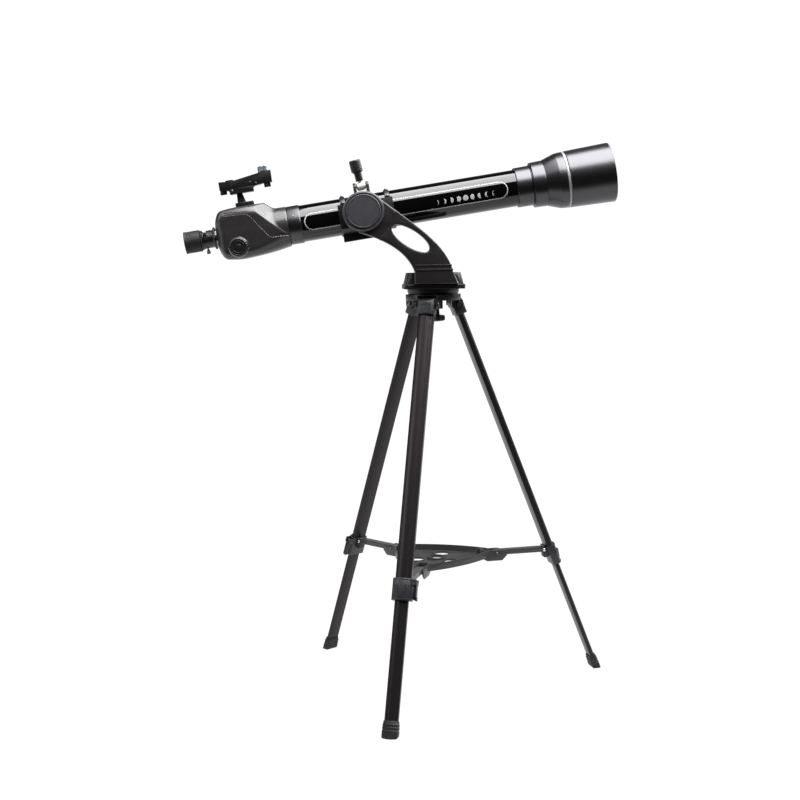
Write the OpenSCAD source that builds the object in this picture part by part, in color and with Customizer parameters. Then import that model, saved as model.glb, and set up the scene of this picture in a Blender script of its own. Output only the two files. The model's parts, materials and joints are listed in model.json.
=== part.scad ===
// Refractor telescope with a one-arm altazimuth head on a folding aluminium tripod.
// Millimetres, +Z up, +X along the tube towards the objective, floor at z = 0.

/* [Tripod] */
// Lean of each leg from the vertical, in degrees
leg_lean = 21.07; // [20:0.01:22]
// Height of the leg hinges above the floor
hinge_z = 772; // [760:1:790]
// Distance of the leg hinges from the azimuth axis
hinge_r = 46.5; // [46:0.1:48]
// Width of the upper leg section, along the hinge
leg_w = 31; // [28:0.5:32]
// Depth of the upper leg section
leg_d = 16; // [15:0.5:17]
// Width of the lower leg section
slider_w = 26; // [23:0.5:27]
// Depth of the lower leg section
slider_d = 11.5; // [10:0.5:12]
// Distance along the leg from its hinge to the top of its clamp
clamp_top = 538.7; // [530:0.1:545]
// Length of the leg clamp
clamp_len = 41.3; // [38:0.1:45]

/* [Tray and braces] */
// Height of the brace pins above the floor
brace_z = 259.3; // [255:0.1:265]
// Radius of the brace pins at the legs
brace_outer_r = 228.5; // [226:0.1:230]
// Radius of the brace pivots at the tray
brace_inner_r = 125; // [122:0.5:128]
// Radius of the tray's three corners
tray_r = 110; // [105:1:114]
// Distance from the tray's middle to the middle of a side
tray_side = 79; // [75:1:82]
// Radius of the holes that hold spare 1.25 inch eyepieces
eyepiece_hole_r = 16; // [15.95:0.05:16.5]

/* [Head] */
// Position of the altitude axis along the tube's direction, from the azimuth axis
altitude_x = -137.5; // [-140:0.5:-130]
// Height of the altitude axis
altitude_z = 952; // [945:0.5:960]
// Elevation of the tube at rest, in degrees
elevation = 8.6; // [5:0.05:12]
// Radius of the arm's altitude hub
hub_disc_r = 40.5; // [39:0.5:42]
// Thickness of the arm
arm_t = 26; // [22:1:28]

/* [Optical tube] */
// Radius of the main tube
tube_r = 36; // [35:0.1:36.5]
// Front end of the main tube, from the altitude axis
tube_front = 330; // [320:1:335]
// Rear end of the main tube
tube_rear = -146; // [-150:1:-140]
// Front end of the dew shield
shield_front = 500; // [480:1:520]
// Radius of the dew shield at its mouth
shield_r = 58.5; // [56:0.1:60]
// Radius of the objective lens
lens_r = 35; // [34:0.5:35]
// Radius of the standard 1.25 inch eyepiece barrel
barrel_r = 15.875; // [15.875:0.001:15.875]
// Travel of the focuser
focus_travel = 60; // [40:1:60]

/* [Hidden] */
$fn = 96;
hull_fn = 32;
eps = 0.01;
turn_gap = 0.05;
body_gap = 0.4;

// Leg directions about the azimuth axis: near, right and far-left
leg_az = [-109, 11, 131];

// Heights of the tripod hub and the head
hub_bottom = 762;
flange_bottom = 779;
hub_top = 791;
base_bottom = 802;
base_top = 834;
flange_r = 55;
boss_r = 19;
pocket_top = 788.6;
cap_w = 34;
cap_r = 13.5;
hinge_pin_r = 3;
bolt_r = 5;

// Leg stations, as distances from the hinge
upper_top = 4;
upper_end = 562;
slider_top = 250;
slider_end = 812;
leg_wall = 1.5;
foot_top = 797;
leg_len = hinge_z / cos(leg_lean);
foot_r = hinge_r + leg_len * sin(leg_lean);

// Brace pin in the leg's own frame
pin_dx = brace_outer_r - hinge_r;
pin_dz = brace_z - hinge_z;
pin_x = pin_dx * cos(leg_lean) + pin_dz * sin(leg_lean);
pin_z = -pin_dx * sin(leg_lean) + pin_dz * cos(leg_lean);
brace_pin_r = 2;
brace_w = 17;
brace_wall = 1.6;
lever_x = -1.6;
lever_y = 23.4;
lever_z = -545;
lever_pin_r = 1.55;

// Tray levels
tray_floor = 253.3;
tray_rim = 267.3;
tray_bow_r = 290;
tray_notch = 97;

// Arm and altitude hub, as distances from the tube's middle plane
arm_in = 50;
arm_out = arm_in + arm_t;
disc_out = arm_out + 8;
recess_in = 70;
axle_r = 8;

// Tube furniture, as distances along the tube from the altitude axis
focus_s = -249;
focus_n = -26;
focus_knob_r = 19.3;
draw_r = 17;
housing_rear = -290;
housing_front = -147.6;
collar_front = -121.9;
cell_rear = 307;
cell_step = 338.6;
flare_rear = 364.6;
flare_front = 391;
cell_front = 404.9;
ring_front = 410;
boss_front = 418;
barrel_pin_s = 5.9;
barrel_pin_n = 53;
bolt_back = 5.2;
collar_screw_s = -135.4;
cell_screw_s = 322;
holder_end = -319;
holder_screw_s = -312;

// The origin is under the middle of the whole object's outline on the floor
front_x = altitude_x + shield_front * cos(elevation) + shield_r * sin(elevation);
rear_x = altitude_x - 354.4 * cos(elevation) - 21.8 * sin(elevation);
mast_x = -(front_x + rear_x) / 2;
mast_y = -(foot_r * sin(leg_az[2]) + foot_r * sin(leg_az[0])) / 2;

// Frames: the azimuth axis, one leg, one leg's radial plane, and the tube

module mast() {
    translate([mast_x, mast_y, 0]) children();
}

module radial(i) {
    mast() rotate([0, 0, leg_az[i]]) children();
}

module leg_frame(i) {
    radial(i) translate([hinge_r, 0, hinge_z]) rotate([0, -leg_lean, 0]) children();
}

module tube_frame() {
    mast() translate([altitude_x, 0, altitude_z]) rotate([0, -elevation, 0]) children();
}

// Cylinder along X from x1 to x2
module rod_x(r, x1, x2) {
    translate([x1, 0, 0]) rotate([0, 90, 0]) cylinder(h = x2 - x1, r = r);
}

// Cylinder along Y from y1 to y2
module rod_y(r, y1, y2) {
    translate([0, y2, 0]) rotate([90, 0, 0]) cylinder(h = y2 - y1, r = r);
}

// Box between two corners
module block(a, b) {
    translate(a) cube(b - a);
}

// Solid of revolution about X, from [s, r] points
module turned(points) {
    rotate([0, 90, 0]) rotate([0, 0, 180]) rotate_extrude() polygon([for (p = points) [p[1], p[0]]]);
}

function bezier(p, t) = pow(1 - t, 3) * p[0] + 3 * t * pow(1 - t, 2) * p[1]
    + 3 * t * t * (1 - t) * p[2] + t * t * t * p[3];
function curve(p, n) = [for (k = [0 : n]) bezier(p, k / n)];

// ---- Tripod ----

// Leg cross-section: flat inside, bowed outside
module leg_profile(w, d, bow) {
    intersection() {
        square([d, w], center = true);
        translate([d / 2 - bow, 0]) circle(r = bow);
    }
}

module hub_cheeks(i) {
    for (side = [-1, 1])
        radial(i) translate([hinge_r, 0, hinge_z]) {
            y = side * (cap_w / 2 + 0.6 + 2.2);
            translate([0, y, 0]) rod_y(9.5, -2.2, 2.2);
            block([-14, y - 2.2, -4], [9, y + 2.2, flange_bottom - hinge_z + eps]);
        }
}

module tripod_hub() {
    color([0.10, 0.10, 0.11]) difference() {
        union() {
            mast() translate([0, 0, flange_bottom]) cylinder(h = hub_top - flange_bottom, r = flange_r);
            mast() translate([0, 0, hub_bottom]) cylinder(h = 20, r = boss_r);
            for (i = [0 : 2]) hub_cheeks(i);
        }
        mast() translate([0, 0, hub_bottom - 1]) cylinder(h = 40, r = bolt_r + turn_gap);
        for (i = [0 : 2])
            radial(i) {
                block([31, -cap_w / 2 - 0.6, 750], [70, cap_w / 2 + 0.6, pocket_top]);
                translate([hinge_r, 0, hinge_z]) rod_y(hinge_pin_r, -30, 30);
            }
    }
}

module hinge_pins() {
    color([0.55, 0.55, 0.57])
        for (i = [0 : 2]) radial(i) translate([hinge_r, 0, hinge_z]) {
            rod_y(hinge_pin_r, -23.5, 23.5);
            rod_y(5, -24.5, -22.2);
            rod_y(5, 22.2, 24.5);
        }
}

module leg_top_cap(i) {
    color([0.12, 0.12, 0.13]) leg_frame(i) difference() {
        intersection() {
            union() {
                rod_y(cap_r, -cap_w / 2, cap_w / 2);
                block([-11, -cap_w / 2, -23], [12.5, cap_w / 2, 0]);
            }
            translate([0.75, 0, -30]) linear_extrude(60) leg_profile(cap_w, 28.5, 30);
        }
        rod_y(hinge_pin_r + turn_gap, -30, 30);
        translate([0, 0, -60]) linear_extrude(60 - upper_top) leg_profile(leg_w, leg_d, 22);
    }
}

module leg_upper(i) {
    color([0.17, 0.15, 0.15]) leg_frame(i) translate([0, 0, -upper_end]) difference() {
        linear_extrude(upper_end - upper_top) leg_profile(leg_w, leg_d, 22);
        translate([0, 0, -1]) linear_extrude(upper_end + 2)
            leg_profile(leg_w - 2 * leg_wall, leg_d - 2 * leg_wall, 20);
    }
}

module leg_clamp(i) {
    bottom = -clamp_top - clamp_len;
    color([0.11, 0.11, 0.12]) leg_frame(i) difference() {
        union() {
            translate([1, 0, bottom]) linear_extrude(clamp_len) leg_profile(37.6, 21, 30);
            for (side = [-1, 1])
                translate([lever_x + side * 6.95, 0, 0])
                    block([-1.25, 12, lever_z - 6], [1.25, lever_y + 4, lever_z + 5]);
            block([-8, 12, -577], [4.4, lever_y - 1.2, lever_z - 7]);
            translate([pin_x, 0, pin_z]) {
                hull() {
                    rod_y(3.8, -6.3, 6.3);
                    translate([-2.5, 0, -13]) rod_y(3.8, -6.3, 6.3);
                    block([6, -6.3, -18], [8, 6.3, 3.8]);
                }
                rod_y(brace_pin_r, -9.1, 9.1);
            }
        }
        translate([0, 0, -upper_end]) linear_extrude(100) leg_profile(leg_w, leg_d, 22);
        translate([0, 0, bottom - 1]) linear_extrude(60)
            leg_profile(slider_w + 2 * body_gap, slider_d + 2 * body_gap, 22);
        translate([lever_x, lever_y, lever_z]) rod_x(lever_pin_r + turn_gap, -12, 12);
        translate([lever_x, lever_y, lever_z]) rod_x(4.2, -5.7, 5.7);
    }
}

module leg_lever(i) {
    color([0.08, 0.08, 0.09]) leg_frame(i) translate([lever_x, lever_y, lever_z]) {
        rod_x(lever_pin_r, -8, 8);
        rod_x(3.4, -5.4, 5.4);
        block([-5.4, -0.6, -33], [5.4, 4, 0]);
        block([-4, 3, -34.6], [4, 5.4, -27]);
    }
}

module leg_lower(i) {
    color([0.16, 0.14, 0.14]) leg_frame(i) translate([0, 0, -slider_end]) difference() {
        linear_extrude(slider_end - slider_top) leg_profile(slider_w, slider_d, 22);
        translate([0, 0, -1]) linear_extrude(slider_end)
            leg_profile(slider_w - 2.4, slider_d - 2.4, 20);
    }
}

module leg_foot(i) {
    color([0.07, 0.07, 0.07]) difference() {
        leg_frame(i) difference() {
            union() {
                translate([0, 0, -850]) linear_extrude(850 - foot_top - 4) leg_profile(30, 19, 26);
                translate([0, 0, -foot_top - 5]) linear_extrude(5) leg_profile(28.5, 15, 24);
            }
            translate([0, 0, -slider_end]) linear_extrude(60) leg_profile(slider_w, slider_d, 22);
        }
        translate([-700, -700, -100]) cube([1400, 1400, 100]);
    }
}

module brace(i) {
    side_in = brace_w / 2 - brace_wall;
    color([0.30, 0.30, 0.31]) radial(i) translate([0, 0, brace_z]) difference() {
        union() {
            block([brace_inner_r, -brace_w / 2, -4], [brace_outer_r, brace_w / 2, 6]);
            translate([brace_outer_r, 0, 0]) rod_y(4, -brace_w / 2, brace_w / 2);
            translate([brace_inner_r, 0, 0]) rod_y(6, -brace_w / 2, brace_w / 2);
        }
        block([0, -side_in, -10], [300, side_in, 4.4]);
        block([brace_outer_r - 6, -side_in, -10], [300, side_in, 10]);
        translate([brace_outer_r, 0, 0]) rod_y(brace_pin_r + turn_gap, -20, 20);
        translate([brace_inner_r, 0, 0]) rod_y(2.5, -20, 20);
    }
}

// Tray outline, pulled in all round by the given distance
module tray_outline(inset) {
    intersection() {
        intersection_for (a = leg_az)
            rotate(a) translate([tray_bow_r - tray_side, 0]) circle(r = tray_bow_r - inset, $fn = 180);
        circle(r = tray_r - inset);
    }
}

module tray_cheeks(i) {
    outline = [[88, 7], [132, 7], [146, 3], [146, -5], [136, -15], [104, -15], [88, -6]];
    for (side = [-1, 1])
        radial(i) translate([0, side * 10.8 + 1.5, brace_z]) rotate([90, 0, 0])
            linear_extrude(3) polygon(outline);
}

module tray() {
    color([0.13, 0.13, 0.14]) difference() {
        union() {
            difference() {
                mast() translate([0, 0, tray_floor]) linear_extrude(tray_rim - tray_floor) tray_outline(0);
                mast() translate([0, 0, tray_floor + 2]) linear_extrude(30) tray_outline(2.5);
            }
            intersection() {
                mast() translate([0, 0, tray_floor]) linear_extrude(tray_rim - tray_floor) tray_outline(0);
                for (i = [0 : 2]) radial(i) block([92, -12.3, 0], [120, 12.3, 400]);
            }
            for (i = [0 : 2]) tray_cheeks(i);
            mast() translate([0, 0, tray_floor]) cylinder(h = 6, r = eyepiece_hole_r + 3.5);
            for (a = leg_az) mast() rotate([0, 0, a - 60]) translate([42, 0, tray_floor])
                cylinder(h = 4, r = eyepiece_hole_r + 2);
        }
        mast() translate([0, 0, tray_floor - 1]) cylinder(h = 30, r = eyepiece_hole_r);
        for (a = leg_az) mast() rotate([0, 0, a - 60]) translate([42, 0, tray_floor - 1])
            cylinder(h = 30, r = eyepiece_hole_r);
        for (i = [0 : 2]) radial(i) block([tray_notch, -9.3, 200], [160, 9.3, 300]);
    }
}

// ---- Head ----

// Rounded rectangular slab, w along X and d along Y
module slab(w, d, z1, z2, r) {
    for (sx = [-1, 1], sy = [-1, 1])
        translate([sx * (w / 2 - r), sy * (d / 2 - r), z1]) cylinder(h = z2 - z1, r = r, $fn = hull_fn);
}

module azimuth_base() {
    color([0.13, 0.12, 0.12]) mast() difference() {
        union() {
            hull() slab(120, 112, base_bottom, base_bottom + 9, 8);
            hull() {
                slab(114, 106, base_bottom + 9, base_bottom + 10, 8);
                slab(104, 96, base_top - 1, base_top, 8);
            }
        }
        block([-40.5, -100, base_bottom + 9], [45, -arm_in, 900]);
        translate([0, 0, base_bottom - 1]) cylinder(h = 24, r = bolt_r + turn_gap);
        translate([0, 0, base_bottom - 1]) difference() {
            cylinder(h = 20, r = 44);
            translate([0, 0, -1]) cylinder(h = 30, r = 12);
        }
    }
}

module azimuth_washer() {
    color([0.09, 0.09, 0.10]) mast() difference() {
        union() {
            translate([0, 0, hub_top + 0.3]) cylinder(h = 4, r = 50);
            translate([0, 0, hub_top + 4]) cylinder(h = base_bottom - hub_top - 4, r = 51.5);
        }
        translate([0, 0, hub_top - 1]) cylinder(h = 30, r = 6);
    }
}

module centre_bolt() {
    color([0.6, 0.6, 0.62]) mast() translate([0, 0, 741]) cylinder(h = 82, r = bolt_r);
}

module centre_bolt_knob() {
    color([0.08, 0.08, 0.09]) mast() difference() {
        union() {
            translate([0, 0, 737]) cylinder(h = 13, r = 22);
            translate([0, 0, 749]) cylinder(h = 12.6, r = 12);
        }
        translate([0, 0, 741]) cylinder(h = 40, r = bolt_r);
        for (a = [0 : 30 : 330]) rotate([0, 0, a]) translate([23.5, 0, 736]) cylinder(h = 15, r = 3.2);
    }
}

arm_outer = [[-111.5, 983.5], [-60, 940], [23, 894], [34.5, 835]];
arm_inner = [[-39.8, 836], [-56, 880], [-105, 901], [-146, 913]];

module arm_outline() {
    polygon(concat(curve(arm_outer, 16), [[42, 811.5], [-38.5, 811.5]], curve(arm_inner, 16),
        [[altitude_x, altitude_z]]));
    translate([altitude_x, altitude_z]) circle(r = hub_disc_r);
}

module arm_window() {
    translate([-47, 900.5]) rotate(-33)
        polygon([for (a = [0 : 7.5 : 352.5]) [42.5 * cos(a), 16 * sin(a)]]);
}

module arm_hub_at(y) {
    translate([altitude_x, -y, altitude_z]) children();
}

module mount_arm() {
    color([0.14, 0.13, 0.13]) mast() difference() {
        union() {
            translate([0, -arm_in, 0]) rotate([90, 0, 0]) linear_extrude(arm_t) arm_outline();
            arm_hub_at(0) rod_y(hub_disc_r, -disc_out, -arm_in);
            translate([0, -arm_out, 0]) {
                block([-37, -1.5, 838], [34, 0, 842]);
                block([-39, -1.5, 847], [32, 0, 850]);
            }
        }
        translate([0, -arm_in + 1, 0]) rotate([90, 0, 0]) linear_extrude(arm_t + 2) arm_window();
        arm_hub_at(0) {
            rod_y(34.6, -disc_out - 1, -recess_in);
            rod_y(axle_r + turn_gap, -100, 0);
            difference() {
                rod_y(57, -arm_out - 1, -arm_out + 1.2);
                rod_y(hub_disc_r, -arm_out - 2, -arm_out + 3);
            }
        }
    }
}

// Cover disc, turned about the altitude axis
module altitude_cap() {
    profile = [[0, 79], [31, 79], [31, 70], [34, 70], [34, 85.5], [32.5, 87.5], [0, 88]];
    color([0.17, 0.17, 0.18]) mast() translate([altitude_x, 0, altitude_z])
        rotate([90, 0, 0]) rotate_extrude() polygon(profile);
}

module altitude_axle() {
    color([0.6, 0.6, 0.62]) mast() arm_hub_at(0) {
        rod_y(axle_r, -77, -46);
        rod_y(22, -49.6, -46);
    }
}

module altitude_nut() {
    color([0.6, 0.6, 0.62]) mast() arm_hub_at(0) difference() {
        union() {
            rod_y(16, -72, -70.3);
            rotate([90, 0, 0]) translate([0, 0, 72]) cylinder(h = 5.5, r = 14, $fn = 6);
        }
        rod_y(axle_r, -90, -60);
    }
}

// ---- Cradle on the tube ----

module cradle_saddle() {
    color([0.11, 0.11, 0.12]) tube_frame() difference() {
        union() {
            rod_x(39, -47, 61);
            block([-47, -46, -25], [61, -30, 22]);
            block([-47, 30, -25], [61, 42, 22]);
            block([-45, -17, -50], [40, 17, -36]);
        }
        rod_x(tube_r, -60, 80);
        block([-60, -60, 22], [80, 60, 60]);
        for (s = [-36, 52], side = [-1, 1])
            translate([s, side * 38.5, 10]) cylinder(h = 20, r = 1.5);
    }
}

module cradle_straps() {
    color([0.10, 0.10, 0.11]) tube_frame() difference() {
        for (s = [-36, 52]) {
            rod_x(38.8, s - 5, s + 5);
            for (side = [-1, 1])
                block([s - 5, side * 35 - 7, 22], [s + 5, side * 35 + 7, 25]);
        }
        rod_x(tube_r, -60, 80);
        block([-60, -60, -60], [80, 60, 22]);
        for (s = [-36, 52], side = [-1, 1])
            translate([s, side * 38.5, 0]) cylinder(h = 40, r = 1.5);
        for (s = [-36, 52], side = [-1, 1])
            translate([s, side * 7, 30]) cylinder(h = 20, r = 1.2);
    }
}

module tube_screws() {
    color([0.5, 0.5, 0.52]) tube_frame() {
        for (side = [-1, 1]) rotate([side * 63.5, 0, 0]) translate([collar_screw_s, 0, tube_r + 0.1])
            cylinder(h = 2.1, r = 1.6);
        for (a = [40, 160, 280]) rotate([a, 0, 0]) translate([cell_screw_s, 0, tube_r + 0.1])
            cylinder(h = 2.4, r = 1.5);
        for (s = [-36, 52], side = [-1, 1]) {
            translate([s, side * 7, tube_r]) cylinder(h = 4.8, r = 1.2);
            translate([s, side * 7, 38.85]) cylinder(h = 2.2, r = 2.7);
            translate([s, side * 38.5, 12]) cylinder(h = 14, r = 1.5);
            translate([s, side * 38.5, 25]) cylinder(h = 2.2, r = 2.7);
        }
    }
}

module clamp_bracket() {
    color([0.10, 0.10, 0.11]) tube_frame() difference() {
        union() {
            intersection() {
                rod_x(38.8, -10, 23);
                block([-12, -26, 20], [30, 26, 60]);
            }
            for (s = [-10, 15.4]) block([s, -8, 34], [s + 6, 8, barrel_pin_n + 2]);
            for (s = [-10, 15.4]) translate([0, 0, barrel_pin_n]) rod_x(8, s, s + 6);
        }
        rod_x(tube_r, -60, 80);
        translate([0, 0, barrel_pin_n]) rod_x(2 + turn_gap, -20, 40);
    }
}

module clamp_bolt() {
    color([0.75, 0.72, 0.65]) tube_frame() translate([0, 0, barrel_pin_n]) {
        rod_x(2, -10.6, 22);
        rod_x(7.8, -3.2, 14.8);
        translate([barrel_pin_s, 0, 0]) rotate([0, -bolt_back, 0]) cylinder(h = 43, r = 3.9);
    }
}

module clamp_knob() {
    color([0.07, 0.07, 0.08]) tube_frame()
        translate([barrel_pin_s, 0, barrel_pin_n]) rotate([0, -bolt_back, 0]) difference() {
            union() {
                translate([0, 0, 10.5]) cylinder(h = 18, r = 7.5);
                translate([0, 0, 27.8]) cylinder(h = 24.8, r = 11.4);
            }
            translate([0, 0, 5]) cylinder(h = 38.4, r = 3.9 + turn_gap);
            for (a = [0 : 20 : 340]) rotate([0, 0, a]) translate([11.8, 0, 30]) cylinder(h = 20, r = 0.9);
        }
}

// ---- Optical tube ----

module main_tube() {
    color([0.03, 0.03, 0.03]) tube_frame() difference() {
        rod_x(tube_r, tube_rear, tube_front);
        rod_x(tube_r - 1.3, tube_rear - 1, tube_front + 1);
    }
}

module rear_collar() {
    color([0.16, 0.16, 0.17]) tube_frame() difference() {
        turned([[housing_front + 0.6, 0], [housing_front + 0.6, 37.7], [-124, 37.7], [collar_front, 36.9],
            [collar_front, 0]]);
        rod_x(tube_r, -200, 0);
        for (side = [-1, 1]) rotate([side * 63.5, 0, 0]) translate([collar_screw_s, 0, 30])
            cylinder(h = 20, r = 1.6);
    }
}

// Rounded rectangular section of the rear housing, [s, half width, top, bottom, corner radius]
module housing_section(c) {
    for (side = [-1, 1], n = [c[2] - c[4], c[3] + c[4]])
        translate([0, side * (c[1] - c[4]), n]) rotate([0, 90, 0])
            translate([0, 0, c[0]]) cylinder(h = 1, r = c[4], $fn = hull_fn);
}

housing_sections = [
    [housing_rear, 36, 40, -36, 14],
    [-271, 41, 50, -46.6, 18],
    [-246, 41, 52, -48.8, 19],
    [-222, 41, 52, -48.4, 20],
    [-200, 41, 52, -46.8, 20],
    [-179, 38.6, 38.6, -44.4, 36],
    [housing_front - 1, 37.6, 37.6, -37.6, 37.5]];

module housing_shell() {
    difference() {
        for (k = [0 : len(housing_sections) - 2])
            hull() {
                housing_section(housing_sections[k]);
                housing_section(housing_sections[k + 1]);
            }
        rod_x(34.4, -283, -140);
        block([-283, -31, 0], [-205, 31, 44]);
        rod_x(tube_r, -152, -100);
        rod_x(draw_r + turn_gap, -300, -280);
        block([-300, -3.6, -20.8], [-280, 3.6, 0]);
        translate([focus_s, 0, focus_n]) rod_y(3 + turn_gap, -60, 60);
        translate([focus_s, 0, focus_n]) rod_y(7, -8, 8);
        translate([focus_s, 0, focus_n]) {
            rod_y(12, -60, -39.8);
            rod_y(12, 39.8, 60);
        }
    }
}

module housing_near() {
    color([0.20, 0.18, 0.18]) tube_frame() intersection() {
        housing_shell();
        block([-320, -80, -80], [-100, 0, 80]);
    }
}

module housing_far() {
    color([0.20, 0.18, 0.18]) tube_frame() intersection() {
        housing_shell();
        block([-320, 0, -80], [-100, 80, 80]);
    }
}

module focus_knobs() {
    color([0.08, 0.08, 0.09]) tube_frame() translate([focus_s, 0, focus_n])
        for (side = [-1, 1]) rotate([90 * side, 0, 0]) difference() {
            union() {
                translate([0, 0, 42]) cylinder(h = 15, r = focus_knob_r - 1);
                translate([0, 0, 42.5]) cylinder(h = 3, r = focus_knob_r);
                translate([0, 0, 40.2]) cylinder(h = 3, r = 9);
            }
            translate([0, 0, 30]) cylinder(h = 22, r = 3);
            translate([0, 0, 55.5]) cylinder(h = 5, r = 12);
            for (a = [0 : 12 : 348]) rotate([0, 0, a]) translate([focus_knob_r - 0.7, 0, 46])
                cylinder(h = 12, r = 1.1);
        }
}

module focus_pinion() {
    color([0.7, 0.6, 0.35]) tube_frame() translate([focus_s, 0, focus_n]) {
        rod_y(3, -52, 52);
        rod_y(5.6, -5, 5);
    }
}

module drawtube() {
    color([0.55, 0.55, 0.57]) tube_frame() difference() {
        union() {
            rod_x(draw_r, -292.5, -178);
            block([-284, -3, -20], [focus_s + focus_travel + 4, 3, -14]);
        }
        rod_x(draw_r - 1.4, -300, -170);
    }
}

module eyepiece_holder() {
    color([0.09, 0.09, 0.10]) tube_frame() difference() {
        union() {
            rod_x(21.5, -296.5, -292.5);
            rod_x(17.4, holder_end, -296);
            rod_x(18.4, holder_end, holder_end + 3.5);
        }
        rod_x(barrel_r + turn_gap, -330, -280);
        translate([holder_screw_s, 0, 0]) rotate([54, 0, 0]) cylinder(h = 30, r = 1.5 + turn_gap);
        translate([holder_screw_s, 0, 0]) rotate([180, 0, 0]) cylinder(h = 30, r = 1.5 + turn_gap);
    }
}

// Thumbscrew that points along +Z from the barrel
module thumbscrew(head_r) {
    translate([0, 0, barrel_r + 0.15]) cylinder(h = 6, r = 1.5);
    translate([0, 0, 19.4]) cylinder(h = 2.4, r = 2.6);
    difference() {
        translate([0, 0, 21.6]) cylinder(h = 7, r = head_r);
        for (a = [0 : 30 : 330]) rotate([0, 0, a]) translate([head_r, 0, 23]) cylinder(h = 6, r = 0.5);
    }
}

module holder_screw_top() {
    color([0.8, 0.8, 0.82]) tube_frame() translate([holder_screw_s, 0, 0]) rotate([54, 0, 0]) thumbscrew(4.2);
}

module holder_screw_low() {
    color([0.8, 0.8, 0.82]) tube_frame() translate([holder_screw_s, 0, 0]) rotate([180, 0, 0]) thumbscrew(3.6);
}

module eyepiece_body() {
    color([0.10, 0.10, 0.11]) tube_frame() difference() {
        union() {
            rod_x(barrel_r, holder_end, -294);
            rod_x(19, -322.3, holder_end);
            rod_x(17, -340, -322);
        }
        rod_x(13, -322, -290);
        rod_x(11, -350, -310);
    }
}

module eyecup() {
    profile = [[-322.6, 17], [-322.6, 20.6], [-324, 21.3], [-346, 21.3], [-354, 21.8], [-354.4, 19.6], [-340.5, 12],
        [-340.5, 17]];
    color([0.05, 0.05, 0.05]) tube_frame() turned(profile);
}

module eyepiece_lens() {
    color([0.6, 0.7, 0.8, 0.4]) tube_frame() turned([[-336, 0], [-336, 11], [-331, 11], [-329.6, 6], [-329.2, 0]]);
}

module lens_cell() {
    outside = [[cell_rear, 37.4], [cell_rear + 1, 38.9], [cell_step, 39.4], [cell_step, 43.8], [cell_step + 1, 44.3],
        [flare_rear - 1, 45.1], [flare_rear, 45.1], [flare_rear + 0.5, 44.9], [flare_front, 54],
        [flare_front + 6, 54.9], [cell_front, 55], [cell_front, 50], [boss_front, 50]];
    inside = [[boss_front, 46], [372, 40], [366, 36], [366, lens_r], [348, lens_r], [348, 33], [tube_front, 33],
        [tube_front, tube_r], [cell_rear, tube_r]];
    color([0.22, 0.22, 0.24]) tube_frame() difference() {
        turned(concat(outside, inside));
        for (a = [40, 160, 280]) rotate([a, 0, 0]) translate([cell_screw_s, 0, 30])
            cylinder(h = 20, r = 1.5);
    }
}

module objective_lens() {
    color([0.55, 0.65, 0.75, 0.4]) tube_frame()
        turned([[350, 0], [351.2, 18], [354, lens_r], [358, lens_r], [361.4, 24], [363, 12], [363.6, 0]]);
}

module dew_shield() {
    lip = 8;
    color([0.24, 0.24, 0.26]) tube_frame() turned([
        [ring_front, 50.3], [ring_front, 55.5], [shield_front - 1, shield_r], [shield_front, shield_r - 0.8],
        [shield_front, shield_r - 2.5], [shield_front - lip, shield_r - 2.5],
        [shield_front - lip - 1, shield_r - 2.3], [boss_front + 2, 53], [boss_front + 1, 50.3]]);
}

module trim_ring() {
    color([0.78, 0.78, 0.80]) tube_frame() turned([[cell_front, 50], [cell_front, 54.3], [cell_front + 1, 55.2],
        [ring_front - 1, 55.4], [ring_front - 0.3, 55], [ring_front - 0.3, 50]]);
}

// ---- Finder ----

module finder_shoe() {
    color([0.10, 0.10, 0.11]) tube_frame() difference() {
        block([-243, -14, 52], [-208, 14, 60]);
        translate([-250, 0, 54]) rotate([90, 0, 90]) linear_extrude(60)
            polygon([[-9, 0], [9, 0], [6.4, 7], [-6.4, 7]]);
    }
}

module finder_bracket() {
    color([0.09, 0.09, 0.10]) tube_frame() {
        translate([-243, 0, 54.4]) rotate([90, 0, 90]) linear_extrude(34)
            polygon([[-8.3, 0], [8.3, 0], [6.1, 5.9], [-6.1, 5.9]]);
        hull() {
            block([-238.4, -5.5, 60.2], [-222.8, 5.5, 62]);
            block([-237.5, -4.5, 78], [-227, 4.5, 79]);
        }
        difference() {
            block([-250, -13, 78], [-203.6, 13, 88.4]);
            block([-251, -10, 81], [-202, 10, 90]);
            translate([-245, 0, 84.5]) rod_y(1.6 + turn_gap, -20, 20);
        }
    }
}

module finder_body() {
    side = [[-269, 88.4], [-251.5, 86], [-250.5, 83.2], [-206, 84], [-200, 88], [-183, 90], [-165.4, 90],
        [-164.6, 113.4], [-183.6, 113.9], [-184.5, 112], [-238, 104.4], [-242, 106.6], [-254.6, 106.2],
        [-255, 104.4], [-268.8, 105.4]];
    color([0.09, 0.09, 0.10]) tube_frame() difference() {
        union() {
            translate([0, 9.6, 0]) rotate([90, 0, 0]) linear_extrude(19.2) polygon(side);
            translate([-245, 0, 84.5]) rod_y(1.6, -13, 13);
            block([-181.5, -7, 82], [-169, 7, 96]);
            translate([-262.5, 0, 80.2]) cylinder(h = 9, r = 6.4);
        }
        block([-240, -7.4, 98], [-186, 7.4, 130]);
        block([-187, -7.4, 100], [-171, 7.4, 130]);
        block([-174, -6.6, 101], [-160, 6.6, 115]);
    }
}

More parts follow.
